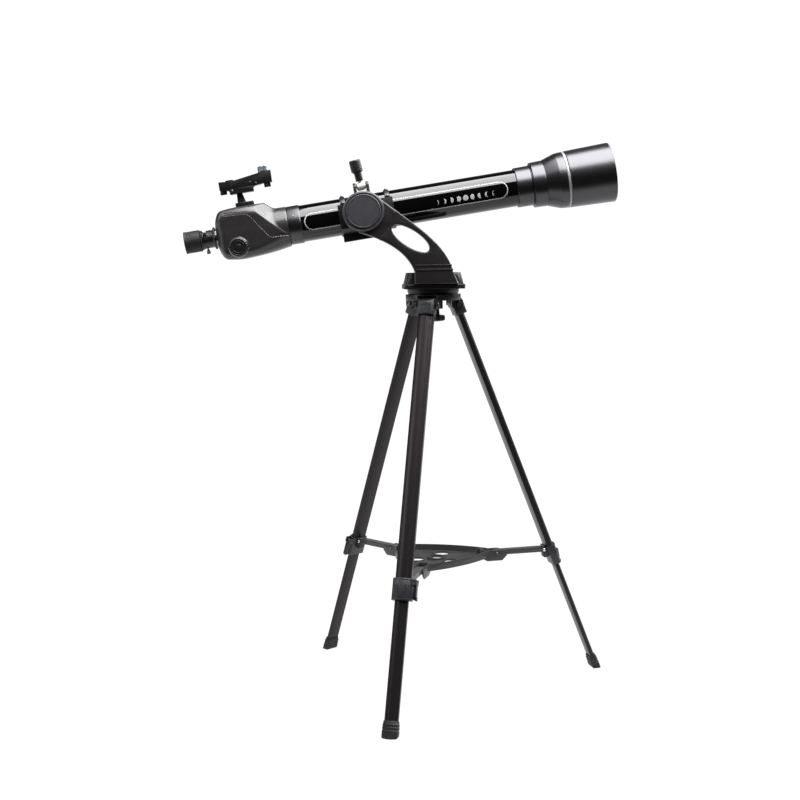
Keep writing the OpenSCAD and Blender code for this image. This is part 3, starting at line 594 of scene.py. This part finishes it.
def housing_shape():
    angles = sorted([2 * pi * (k + 0.5) / 220 for k in range(220)]
                    + [x for c in (0, pi) for x in (c, c + 0.006, (c - 0.006) % (2 * pi))])
    rings = []
    for rho in (0.5, 0.6, 0.7, 0.78, 0.85, 0.9, 0.94, 0.97, 0.985, 0.995):
        ring = []
        for a in angles:
            full, hole = housing_radius(DOME_S, a), housing_hole(a)
            r = hole + (full - hole) * (rho - 0.5) * 2 if rho < 0.8 else full * rho
            ring.append((r, DOME_S - DOME_DEPTH * sqrt(1 - (r / full) ** DOME_POWER)))
        rings.append(ring)
    stations = [DOME_S + (NECK_S - DOME_S) * (k / 84) for k in range(85)]
    rings += [[(housing_radius(s, a), s) for a in angles] for s in stations]
    rings.append([(37.4, -147.7)] * len(angles))
    rings += [[(r, s)] * len(angles) for r, s in ((34.6, -147.7), (34.6, -283))]
    rings.append([(housing_hole(a), -283) for a in angles])
    n, verts, faces = len(angles), [], []
    for ring in rings:
        verts += [(s, -r * sin(a), r * cos(a)) for a, (r, s) in zip(angles, ring)]
    for j in range(len(rings)):
        i2 = (j + 1) % len(rings)
        for i in range(n):
            k = (i + 1) % n
            faces.append((j * n + i, j * n + k, i2 * n + k, i2 * n + i))
    return verts, faces


piece("rear_housing", housing_shape(), TUBE, HOUSING, "optical_tube", ["housing_near", "housing_far"], angle=50)


def on_housing(s, n, side):
    """Point and normal on the housing's side at station s and height n."""
    angles = np.linspace(radians(8), radians(172), 400)
    heights = [housing_radius(s, a) * cos(a) for a in angles]
    a = float(np.interp(-n, [-h for h in heights], angles))

    def at(s, a):
        r = housing_radius(s, a)
        return Vector((s, -side * r * sin(a), r * cos(a)))
    normal = (at(s + 0.5, a) - at(s - 0.5, a)).cross(at(s, a + 0.01) - at(s, a - 0.01))
    if normal.y * side > 0:
        normal.negate()
    return at(s, a), normal.normalized()


def housing_line(points, side, width, height, radius):
    """Raised line on the housing's side through (station, height) points."""
    path = rounded(points, radius, steps=8, closed=False)
    fine = []
    for (s1, n1), (s2, n2) in zip(path, path[1:]):
        count = max(1, int(sqrt((s2 - s1) ** 2 + (n2 - n1) ** 2) / 2.5))
        fine += [(s1 + (s2 - s1) * k / count, n1 + (n2 - n1) * k / count) for k in range(count)]
    spots = [on_housing(s, n, side) for s, n in fine + [path[-1]]]
    return ribbon([p for p, _ in spots], [u for _, u in spots], width, height, sink=0.4)


TRIM_LINE = [(-268, 37), (-222, 34.5), (-186, -17.5), (-149.5, -18.8)]
RAIL_LINE = [(-266, 43.5), (-219, 41)]
for side, label in ((1, "near"), (-1, "far")):
    piece(f"housing_trim_{label}", housing_line(TRIM_LINE, side, 1.0, 0.35, 16), TUBE, HOUSING_TRIM,
          "optical_tube")
    piece(f"housing_rail_{label}", housing_line(RAIL_LINE, side, 2.6, 0.8, 1), TUBE, HOUSING, "optical_tube")

# ---- Focuser, eyepiece ----

FOCUS = TUBE @ shift(-249, 0, -26)


def knob_grip(a, s, r):
    """Scalloped edge of the focus knobs."""
    return 0.55 * cos(26 * a) if r > 16.5 and 46.3 < abs(s) < 56.2 else 0


knob = [(40.3, 0, 0), (40.3, 9, 0.3), (42.2, 9, 0), (42.2, 18.6, 0.4), (46, 19.3, 0.6), (46.2, 18.1, 0),
        (46.6, 17.9, 0), (48, 17.9, 0), (52, 17.8, 0), (55.6, 17.6, 0), (57, 16.2, 0.6), (57, 14.6, 0.3),
        (56.2, 14.2, 0.3), (56.2, 12.6, 0.3), (56.9, 12.2, 0.3), (56.9, 10.6, 0.3), (55.6, 10.1, 0.3),
        (55.6, 6.2, 0.3), (57, 5.6, 0.4), (57.3, 2.5, 0.3), (57.3, 0, 0)]
knob = rounded(knob, 0.3, closed=False)
near_knob = spin([(-s, r) for s, r in knob], "y", 208, knob_grip, closed=False)
far_knob = spin(knob, "y", 208, knob_grip, closed=False)
piece("focus_knob_pair", [near_knob, far_knob], FOCUS, BLACK_PLASTIC, "focus_knob", ["focus_knobs"], angle=28)
rim = rounded([(42.6, 18.4), (42.6, 19.1), (43.4, 19.5), (45.2, 19.5), (45.8, 19.0), (45.8, 18.4)], 0.3)
piece("focus_knob_rims", [spin([(-s, r) for s, r in rim], "y", 128), spin(rim, "y", 128)], FOCUS, CHROME,
      "focus_knob")

holder = [(-292.5, 16, 0), (-292.5, 20.8, 0.5), (-293.4, 21.5, 0.3), (-295.8, 21.5, 0.3), (-296.6, 20.9, 0.3),
          (-296.8, 18.1, 0.6), (-298, 17.4, 0.3), (-314.9, 17.4, 0.2), (-315.4, 18.2, 0.2), (-318.5, 18.4, 0.4),
          (-319, 17.8, 0.2), (-319, 16, 0)]
piece("eyepiece_holder_shape",
      spin(rounded(holder, 0.3), "x", 180, lambda a, s, r: 0.25 * cos(60 * a) if r > 21.2 else 0), TUBE, EYEPIECE,
      "draw", ["eyepiece_holder"])


def thumbscrew(head_r):
    """Small knurled screw along Z from the barrel."""
    shape = rounded([(16.1, 0, 0), (16.1, 1.2, 0.2), (17, 1.5, 0), (19.4, 1.5, 0), (19.4, 2.4, 0.2),
                     (21.4, 2.5, 0.2), (21.6, head_r - 0.6, 0.2), (22.4, head_r, 0), (27.8, head_r, 0),
                     (28.6, head_r - 0.7, 0.2), (28.6, 1.6, 0.2), (28.2, 1.2, 0), (28.2, 0, 0)], 0.2,
                    closed=False)
    return spin(shape, "z", 96, lambda a, s, r: 0.22 * cos(24 * a) if r > head_r - 0.2 else 0, closed=False)


SCREW_STATION = TUBE @ shift(-312, 0, 0)
piece("holder_screw_top_shape", thumbscrew(4.1), SCREW_STATION @ rotation(54, "X"), STEEL, "holder_screw_top",
      ["holder_screw_top"])
piece("holder_screw_low_shape", thumbscrew(3.5), SCREW_STATION @ Matrix.Rotation(pi, 4, "X"), STEEL,
      "holder_screw_low", ["holder_screw_low"])
barrel = [(-294, 13, 0), (-294, 15.6, 0.3), (-294.6, 15.87, 0), (-319, 15.87, 0), (-319.1, 18.4, 0.5),
          (-319.8, 19, 0.3), (-321.6, 19, 0.3), (-322.2, 18.3, 0.4), (-322.4, 17, 0.3), (-340, 17, 0.3),
          (-340, 11, 0.3), (-322, 11, 0), (-322, 13, 0)]
piece("eyepiece_barrel",
      spin(rounded(barrel, 0.3), "x", 160, lambda a, s, r: 0.25 * cos(48 * a) if r > 18.8 else 0), TUBE, EYEPIECE,
      "eyepiece", ["eyepiece_body"])
cup = [(-322.6, 17.05, 0), (-322.6, 20.4, 0.8), (-323.8, 21.2, 0.6), (-340, 21.3, 1)]
for k in range(3):    # grip grooves
    s = -342 - k * 2.6
    cup += [(s, 21.3, 0.4), (s - 0.5, 20.8, 0.3), (s - 1.1, 20.8, 0.3), (s - 1.6, 21.3, 0.4)]
cup += [(-350, 21.3, 1), (-353.2, 21.8, 1), (-354.4, 21.2, 0.5), (-354, 19.4, 0.6), (-348, 15.4, 1.5),
        (-340.6, 12, 0.3), (-340.2, 17.05, 0)]
piece("eyecup_shape", spin(rounded(cup, 0.4), count=128), TUBE, RUBBER, "eyepiece", ["eyecup"])
eye_lens = [(-336, 0), (-336, 10.9), (-331, 10.9), (-330, 8), (-329.4, 4), (-329.2, 0)]
piece("eye_lens_glass", spin(eye_lens, count=96, closed=False), TUBE, LENS_GLASS, "eyepiece", ["eyepiece_lens"])
refined("drawtube", CHROME, 0.25)
refined("focus_pinion", BRASS, 0.2)

# ---- Cradle and clamp ----

refined("cradle_saddle", BLACK_PLASTIC, 1.0)
refined("cradle_straps", BLACK_PLASTIC, 0.5)
refined("clamp_bracket", BLACK_PLASTIC, 0.6)
refined("altitude_axle", STEEL, 0.3)
refined("altitude_nut", STEEL, 0.3)


def screw_head(r, h):
    """Domed head with a cross recess cut as four lands."""
    lands = []
    for k in range(4):
        wedge = [(0.12 * r, 0.12 * r)]
        for i in range(7):
            t = radians(8 + 74 * i / 6)
            wedge.append((r * 0.62 * cos(t), r * 0.62 * sin(t)))
        lands.append(moved(prism(wedge, h * 0.5, h * 0.97), rotation(90 * k, "Z")))
    bowl = rounded([(0, 0, 0), (0, r * 0.9, 0.1), (0.12 * h, r, 0.1), (h * 0.5, r * 0.96, 0.2), (h, r * 0.7, 0.3),
                    (h, r * 0.6, 0), (h * 0.55, r * 0.58, 0), (h * 0.55, 0, 0)], 0.1, closed=False)
    return [spin(bowl, "z", 48, closed=False)] + lands


STRAP_STATIONS, COLLAR_SCREW_S, CELL_SCREW_S = (-36, 52), -135.4, 322
screws = []
for s in STRAP_STATIONS:
    for side in (-1, 1):
        screws += all_moved(screw_head(2.7, 2.2), shift(s, side * 7, 38.85))
        screws.append(moved(cyl(1.2, 35.9, 39.0), shift(s, side * 7, 0)))
        screws += all_moved(screw_head(2.7, 2.2), shift(s, side * 38.5, 25))
        screws.append(moved(cyl(1.5, 12, 25.1), shift(s, side * 38.5, 0)))
for angle in (-63.5, 63.5):
    screws += all_moved(screw_head(2.3, 1.3), rotation(angle, "X") @ shift(COLLAR_SCREW_S, 0, 37.2))
for angle in (40, 160, 280):
    screws += all_moved(screw_head(1.9, 1.3), rotation(angle, "X") @ shift(CELL_SCREW_S, 0, 38.4))
piece("cradle_and_tube_screws", screws, TUBE, DARK_STEEL, "optical_tube", ["tube_screws"])

BARREL = TUBE @ shift(5.9, 0, 53) @ rotation(-5.2, "Y")
drum = rounded([(-9, 0, 0), (-9, 5.4, 2.6), (-6.2, 7.8, 3), (6.0, 7.8, 3), (8.8, 5.4, 2.6), (8.8, 0, 0)], 0.3,
               steps=5, closed=False)


def thread(a, s, r):
    """Helical thread of 1.25 mm pitch on the upper part of the clamp bolt."""
    return 0.22 * cos(2 * pi * s / 1.25 - a) if r > 3.5 and 8 < s < 42 else 0


stem = [(0, 0)] + [(0.3 + k * 0.31, 3.65) for k in range(136)] + [(42.8, 3.2), (43, 0)]
clamp_pin = [(-16.4, 0), (-16.4, 1.6), (-16.0, 2.0), (15.6, 2.0), (16.0, 1.6), (16.0, 0)]
piece("clamp_bolt_shape", [spin(drum, "x", 64, closed=False), spin(stem, "z", 40, thread, closed=False),
                           spin(clamp_pin, "x", 40, closed=False)],
      BARREL, NICKEL, "clamp_bolt", ["clamp_bolt"])
grip = [(10.6, 4.2, 0), (10.6, 6.9, 0.5), (11.4, 7.5, 0.4), (25.8, 7.6, 0.6), (27.4, 8.6, 0.8), (29.4, 11.1, 0.6)]
grip += [(30 + k * 1.6, 11.4, 0) for k in range(13)]
grip += [(51.2, 11.1, 0.8), (52.4, 9.9, 0.6), (52.4, 7, 0.4), (51.8, 6.4, 0.3), (51.8, 0, 0)]
piece("clamp_knob_shape", spin(rounded(grip, 0.3, closed=False), "z", 216,
                               lambda a, s, r: 0.42 * abs(cos(12 * a)) - 0.3 if r > 11.2 else 0, closed=False),
      BARREL, BLACK_PLASTIC, "clamp_knob", ["clamp_knob"])

# ---- Finder ----

refined("finder_shoe", BLACK_PLASTIC, 0.5)
refined("finder_bracket", BLACK_PLASTIC, 0.5)
refined("finder_body", BLACK_PLASTIC, 0.7)
outer = rounded([(-189, 106, 0.3), (-171.4, 106, 0.3), (-171.4, 123.2, 4), (-189, 123.2, 4)], 0.3)
inner = rounded([(-187.8, 107.2, 0.3), (-172.6, 107.2, 0.3), (-172.6, 122, 3), (-187.8, 122, 3)], 0.3)
upright = Matrix(((1, 0, 0, 0), (0, 0, -1, 0), (0, 1, 0, 0), (0, 0, 0, 1)))
WALL_Y, ROOF_Y = 6.6, 6.1
hood = [moved(plate([outer], y - 0.6, y + 0.6, 0.2), upright) for y in (-WALL_Y, WALL_Y)]
hood.append(moved(plate([outer, inner], -ROOF_Y, ROOF_Y, 0.05), upright))
pane = [(-180.6, 107), (-179.2, 107), (-176, 122.4), (-177.4, 122.4)]
hood.append(moved(plate([pane], -6.0, 6.0, 0.05), upright))
piece("finder_hood", hood, TUBE, WINDOW_GLASS, "finder", ["finder_window"])
bits = []
for s, y, n, r, h in ((-207.5, -9.4, 96, 2.3, 1.3), (-196.6, -9.4, 92.5, 2.3, 1.3), (-175.2, -6.9, 86.2, 2.8, 1.3),
                      (-245, -12.8, 84.5, 2.6, 1.2)):
    bits += all_moved(screw_head(r, h), shift(s, y, n) @ rotation(90, "X"))
piece("finder_screws", bits, TUBE, DARK_STEEL, "finder")
wheel = rounded([(80.2, 0, 0), (80.2, 5.6, 0.4), (80.8, 6.4, 0.2), (86.2, 6.4, 0.2), (86.8, 5.6, 0.4),
                 (88.6, 5, 0), (88.6, 0, 0)], 0.2, closed=False)
wheel = spin(wheel, "z", 120, lambda a, s, r: 0.3 * cos(20 * a) if r > 6 else 0, closed=False)
piece("finder_aim_wheel", moved(wheel, shift(-262.5, 0, 0)), TUBE, BLACK_PLASTIC, "finder")
dial = rounded([(9.8, 0, 0), (9.8, 5.7, 0.2), (10.4, 6.1, 0), (15.0, 6.0, 0), (15.8, 5.2, 0.4), (15.8, 0, 0)], 0.2,
               closed=False)
dial = spin(dial, "y", 120, lambda a, s, r: 0.28 * cos(20 * a) if r > 5.8 else 0, closed=False)
piece("finder_switch_dial", moved(dial, shift(-261, 0, 97)), TUBE, BLACK_PLASTIC, "finder_switch",
      ["finder_switch"])

# ---- Head ----

ARM_FACE = local_frame((mast_x, mast_y, 0), X, -Y)
hub = MAST.inverted() @ joint_pos("altitude")
HUB_AT = (hub.x, hub.z)


def bezier(p, steps):
    """Points along a cubic curve with the four control points p."""
    out = []
    for k in range(steps + 1):
        t = k / steps
        w = ((1 - t) ** 3, 3 * t * (1 - t) ** 2, 3 * t * t * (1 - t), t ** 3)
        out.append(tuple(sum(c * q[i] for c, q in zip(w, p)) for i in (0, 1)))
    return out


outer_edge = bezier([(-111.5, 983.5), (-60, 940), (23, 894), (34.5, 835)], 32)
inner_edge = bezier([(-39.8, 836), (-56, 880), (-105, 901), (-146, 913)], 32)
WINDOW_AT, WINDOW_LONG, WINDOW_SHORT, WINDOW_SLOPE = (-47, 900.5), 42.5, 16, radians(33)
window = []
for k in range(72):
    u, v = WINDOW_LONG * cos(2 * pi * k / 72), WINDOW_SHORT * sin(2 * pi * k / 72)
    window.append((WINDOW_AT[0] + u * cos(WINDOW_SLOPE) + v * sin(WINDOW_SLOPE),
                   WINDOW_AT[1] - u * sin(WINDOW_SLOPE) + v * cos(WINDOW_SLOPE)))


def clear_of_hub(points, distance=60):
    """Those points that are further than distance from the hub's middle."""
    return [p for p in points if sqrt((p[0] - HUB_AT[0]) ** 2 + (p[1] - HUB_AT[1]) ** 2) > distance]


foot = [(41, 812.5), (-38, 812.5)]
arm_loop = outer_edge + foot + inner_edge + [(-158, 930), (-150, 970)]
raised = clear_of_hub(outer_edge) + foot + clear_of_hub(inner_edge)
a1, a2 = (atan2(p[1] - HUB_AT[1], p[0] - HUB_AT[0]) for p in (raised[-1], raised[0]))
for k in range(1, 20):    # concave end, an arc round the hub
    a = a1 + (a2 - a1) * k / 20
    raised.append((HUB_AT[0] + 57 * cos(a), HUB_AT[1] + 57 * sin(a)))
arm_plates = [plate([arm_loop, window], 50, 74.9, 3.6, 5), plate([raised, window], 67, 76, 2.6, 4)]
piece("arm_shape", arm_plates, ARM_FACE, ARM, "head", ["mount_arm"])
ridges = [block((-37, 838, 75), (34, 841.6, 77.4)), block((-39, 846.8, 75), (32, 849.6, 77.2))]
piece("arm_ridges", ridges, ARM_FACE, ARM, "head", bevel=0.7)
hub_ring = rounded([(-50, 8.3, 0), (-50, 40.5, 1), (-82, 40.5, 3.2), (-84, 37.5, 2), (-83.4, 34.7, 0.6),
                    (-70, 34.7, 0), (-70, 8.3, 0)], 1, steps=5)
# The ring and cap are a little lower than wide, along a line 14 degrees off the level.
OVAL = ALT @ shift(0, 0, 1.6) @ rotation(-14, "Y") @ Matrix.Diagonal((1, 1, 0.945, 1)) @ rotation(14, "Y")
piece("hub_ring", spin(hub_ring, "y", 160), OVAL, CAP_RING, "head")
cap_rim = rounded([(-70, 31, 0), (-70, 34, 0), (-85, 34, 1.2), (-87.4, 32.6, 0.8), (-87.4, 31.2, 0.5),
                   (-86.4, 30.6, 0.3), (-80, 30.6, 0)], 0.5, steps=4)
cap_disc = rounded([(-80, 0, 0), (-80, 30.4, 0), (-86.2, 30.4, 0.3), (-86.5, 29.2, 0.2), (-86.6, 0, 0)], 0.3,
                   closed=False)
piece("hub_cap_rim", spin(cap_rim, "y", 160), OVAL, CAP_RING, "head")
piece("hub_cap_disc", spin(cap_disc, "y", 128, closed=False), OVAL, CAP_FACE, "head", ["altitude_cap"])
refined("azimuth_base", ARM, 1.4, 25)
washer = rounded([(791.4, 6), (791.4, 49), (792.4, 50), (794.9, 50), (795.4, 51.2), (801.3, 51.5), (801.9, 50.8),
                  (801.9, 6)], 0.5)
piece("azimuth_washer_shape", spin(washer, "z", 128), MAST, BLACK_PLASTIC, "head", ["azimuth_washer"])

# ---- Tripod head ----

refined("tripod_hub", BLACK_PLASTIC, 0.8)
refined("centre_bolt", STEEL, 0.5)
refined("hinge_pins", DARK_STEEL, 0.5)


def star(a, s, r):
    """Lobes of the star knob."""
    return 1.3 * cos(12 * a) if r > 18 and 738 < s < 749.5 else 0


star_knob = rounded([(737, 0, 0), (737, 16, 0.6), (738.4, 20.5, 0.8), (740, 21.6, 0.4), (743, 22, 0),
                     (747, 21.8, 0), (749, 20.2, 0.8), (750, 14, 0.8), (750.6, 12.4, 0.6), (761, 12, 0.4),
                     (761.6, 11.2, 0.3), (761.6, 5.4, 0)], 0.5, closed=False)
piece("centre_knob_shape", spin(star_knob, "z", 144, star, closed=False), MAST, BLACK_PLASTIC, "centre_knob",
      ["centre_bolt_knob"])

# ---- Legs ----

LEAN = radians(21.07)
PIVOT_LEVEL = 772    # height of the leg hinges over the floor
UPPER_SECTION, LOWER_SECTION = (31, 16, 22, 1.2, (10.5,)), (26, 11.5, 22, 1, (8.5,))
UPPER_SPAN, LOWER_SPAN = (-562, -4), (-812, -250)
CLAMP_BOW_R = 30    # bow of the clamp's outer face
BRACE_PIN_AT, TRAY_PIN_AT = (228.5, 0, 259.3), (125, 0, 259.3)


def bowed(w, d, bow, edge=1.2, grooves=()):
    """Leg section: flat inside, bowed outside, with shallow grooves along the bow."""
    def face(y):
        dip = sum(0.45 * max(0.0, 1 - abs(abs(y) - g) / 0.9) for g in grooves)
        return d / 2 - bow + sqrt(bow * bow - y * y) - dip
    ys = sorted([w / 2 * k / 12 for k in range(-12, 13)]
                + [sgn * g + o for g in grooves for sgn in (-1, 1) for o in (-0.9, 0, 0.9)])
    front = [(face(y), y, 0) for y in ys[1:-1]]
    front = [(face(-w / 2), -w / 2, edge)] + front + [(face(w / 2), w / 2, edge)]
    return rounded(front + [(-d / 2, w / 2, edge), (-d / 2, -w / 2, edge)], edge)


def loft(rings):
    """Solid through rings of the same number of points."""
    n = len(rings[0])
    verts = [p for ring in rings for p in ring]
    faces = [(j * n + i, j * n + (i + 1) % n, (j + 1) * n + (i + 1) % n, (j + 1) * n + i)
             for j in range(len(rings) - 1) for i in range(n)]
    return verts, faces + [tuple(range(n))[::-1], tuple(range((len(rings) - 1) * n, len(rings) * n))]


def at_floor(x):
    """Leg-frame height of the floor at depth x."""
    return -(PIVOT_LEVEL + x * sin(LEAN)) / cos(LEAN)


def boot():
    """Rubber foot: ridged sides and a sole level with the floor."""
    levels = [(-797.5, 27.4, 13.8), (-799, 28.2, 15), (-803, 28.6, 16), (-804, 29.6, 18), (-806.4, 29.8, 18.2),
              (-807.2, 28.8, 17.2), (-808.6, 28.8, 17.2), (-809.4, 30, 18.6), (-812, 30, 18.6), (-813, 29, 17.6),
              (-814.4, 29, 17.6), (-815.2, 30.2, 19), (-818, 30.2, 19)]
    sole = [(1.2, 30.2, 19), (0, 28.8, 17.6)]
    rings = [[(x, y, z) for x, y in bowed(w, d, 26, 2.4)] for z, w, d in levels]
    rings += [[(x, y, at_floor(x) + rise) for x, y in bowed(w, d, 26, 2.4)] for rise, w, d in sole]
    return loft(rings)


def chevron(x, z, size, up=(1, 0, 0)):
    """V of raised ribs on a face at depth x."""
    ribs = []
    for sgn in (-1, 1):
        for gap, width in ((0, 1.5), (0.42, 1.1)):
            y1, z1 = sgn * size * (0.06 + gap * 0.55), z - size * 0.8
            y2, z2 = sgn * size * (0.62 + gap), z + size * 0.75
            path = [(x, y1 + (y2 - y1) * t, z1 + (z2 - z1) * t) for t in (0, 0.5, 1)]
            ribs.append(ribbon(path, [up] * 3, width, 0.8, sink=0.8))
    return ribs


def clamp_band(z):
    """Raised band across the clamp's bowed outer face."""
    ys = [-17 + k * 34 / 16 for k in range(17)]
    path = [(11.5 - CLAMP_BOW_R + sqrt(CLAMP_BOW_R ** 2 - y * y), y, z) for y in ys]
    return ribbon(path, [(p[0] + 18.5, p[1], 0) for p in path], 1.6, 0.7, sink=0.8)


def head_pair(profile):
    """Two turned heads on one line, facing outwards along Y."""
    head = spin(rounded(profile, 0.3, closed=False), "y", 32, closed=False)
    return [moved(head, Matrix.Scale(sgn, 4, Y)) for sgn in (-1, 1)]


for i in range(3):
    n = i + 1
    body = f"leg_{n}"
    piece(f"leg_upper_{n}_shape", prism(bowed(*UPPER_SECTION), *UPPER_SPAN), LEG[i], LEG_METAL, body,
          [f"leg_upper_{n}"], angle=30)
    piece(f"leg_lower_{n}_shape", prism(bowed(*LOWER_SECTION), *LOWER_SPAN), LEG[i], LEG_METAL, f"lower_{n}",
          [f"leg_lower_{n}"], angle=30)
    piece(f"leg_foot_{n}_shape", boot(), LEG[i], RUBBER, f"lower_{n}", [f"leg_foot_{n}"])
    refined(f"leg_top_cap_{n}", CLAMP_PLASTIC, 0.8)
    refined(f"leg_clamp_{n}", CLAMP_PLASTIC, 0.7)
    refined(f"leg_lever_{n}", BLACK_PLASTIC, 0.5)
    refined(f"brace_{n}", BRACE, 0.4)
    piece(f"leg_cap_relief_{n}", chevron(12.5, -12, 10.5), LEG[i], CLAMP_PLASTIC, body)
    piece(f"leg_clamp_relief_{n}", chevron(11.3, -561, 14) + [clamp_band(-541.2), clamp_band(-577.6)], LEG[i],
          CLAMP_PLASTIC, body)
    rivets = head_pair([(9.0, 0, 0), (9.0, 3.4, 0.2), (9.5, 3.3, 0.4), (10.4, 2.0, 0.5), (10.6, 0, 0)])
    piece(f"brace_rivets_{n}", rivets, RADIAL[i] @ shift(*BRACE_PIN_AT), CHROME, body)
    pins = head_pair([(12.2, 0, 0), (12.2, 3.2, 0.2), (12.8, 3.0, 0.4), (13.5, 1.8, 0.5), (13.6, 0, 0)])
    pins.append(cyl(2.2, -12.3, 12.3, "y", 24))
    piece(f"tray_pins_{n}", pins, RADIAL[i] @ shift(*TRAY_PIN_AT), DARK_STEEL, "tray")
refined("tray", TRAY, 0.7)


# ---- Floor, light and world ----

SEEN_WHITE, DIM_ROOM, BACKDROP = 1.05, 0.04, 0.3
FLOOR_HALF = 20
OVERHEAD = (0, -cos(radians(73)), sin(radians(73)))


def make_floor():
    """Plain white floor. Surfaces see it bright behind the object and dark in front of it."""
    mat = bpy.data.materials.new("pale_floor")
    mat.use_nodes = True
    nodes, links = mat.node_tree.nodes, mat.node_tree.links
    nodes.remove(nodes["Principled BSDF"])
    emit = nodes.new("ShaderNodeEmission")
    place, split = nodes.new("ShaderNodeTexCoord"), nodes.new("ShaderNodeSeparateXYZ")
    links.new(place.outputs["Object"], split.inputs["Vector"])
    ray, pick = nodes.new("ShaderNodeLightPath"), nodes.new("ShaderNodeMix")
    links.new(ray.outputs["Is Camera Ray"], pick.inputs["Factor"])
    links.new(mapped(mat.node_tree, split.outputs["Y"], (-1.0, -0.72, 0.03, 1.1)), pick.inputs["A"])
    pick.inputs["B"].default_value = SEEN_WHITE
    links.new(pick.outputs["Result"], emit.inputs["Strength"])
    links.new(emit.outputs["Emission"], nodes["Material Output"].inputs["Surface"])
    mesh = bpy.data.meshes.new("floor")
    h = FLOOR_HALF
    mesh.from_pydata([(-h, -h, 0), (h, -h, 0), (h, h, 0), (-h, h, 0)], [], [(0, 1, 2, 3)])
    mesh.materials.append(mat)
    floor = bpy.data.objects.new("floor", mesh)
    scene.collection.objects.link(floor)


def softbox(name, direction, distance, size_x, size_y, radiance, target=(0, 0, 0.95)):
    """Rectangular light at a distance from target, facing it."""
    light = bpy.data.lights.new(name, "AREA")
    light.shape, light.size, light.size_y = "RECTANGLE", size_x, size_y
    light.energy = radiance * pi * size_x * size_y
    obj = bpy.data.objects.new(name, light)
    scene.collection.objects.link(obj)
    d = Vector(direction).normalized()
    obj.location = Vector(target) + d * distance
    obj.rotation_mode = "QUATERNION"
    obj.rotation_quaternion = (-d).to_track_quat("-Z", "Y")


def make_world():
    """White to the eye; surfaces see a dim room with a low pale backdrop behind the object."""
    world = bpy.data.worlds.new("studio_world")
    scene.world = world
    world.use_nodes = True
    nodes, links = world.node_tree.nodes, world.node_tree.links
    seen, room = nodes["Background"], nodes.new("ShaderNodeBackground")
    seen.inputs["Color"].default_value = (1, 1, 1, 1)
    seen.inputs["Strength"].default_value = SEEN_WHITE
    room.inputs["Color"].default_value = (0.9, 0.95, 1, 1)
    toward, axes = nodes.new("ShaderNodeTexCoord"), nodes.new("ShaderNodeSeparateXYZ")
    links.new(toward.outputs["Generated"], axes.inputs["Vector"])
    both, at_least = nodes.new("ShaderNodeMath"), nodes.new("ShaderNodeMath")
    both.operation, at_least.operation = "MULTIPLY", "MAXIMUM"
    at_least.inputs[1].default_value = DIM_ROOM
    for k, (axis, span) in enumerate((("Y", (0.7, 0.85, DIM_ROOM, BACKDROP)), ("Z", (0.45, 0.6, 1.0, DIM_ROOM)))):
        links.new(mapped(world.node_tree, axes.outputs[axis], span, smooth=True), both.inputs[k])
    links.new(both.outputs["Value"], at_least.inputs[0])
    links.new(at_least.outputs["Value"], room.inputs["Strength"])
    path, mix = nodes.new("ShaderNodeLightPath"), nodes.new("ShaderNodeMixShader")
    links.new(path.outputs["Is Camera Ray"], mix.inputs["Fac"])
    links.new(room.outputs["Background"], mix.inputs[1])
    links.new(seen.outputs["Background"], mix.inputs[2])
    links.new(mix.outputs["Shader"], nodes["World Output"].inputs["Surface"])


make_floor()
softbox("overhead_softbox", OVERHEAD, 2.2, 3.2, 2.64, 12.5, (1.0, 0, 0.95))
softbox("overhead_fill", OVERHEAD, 2.2, 2.0, 2.64, 1.8, (-1.6, 0, 0.95))
softbox("left_softbox", (-0.9, -0.2, 0.3), 2.6, 1.6, 1.6, 2.4)
softbox("right_softbox", (0.74, 0.42, 0.46), 2.6, 1.7, 1.7, 8)
make_world()
scene.view_settings.view_transform = "Standard"
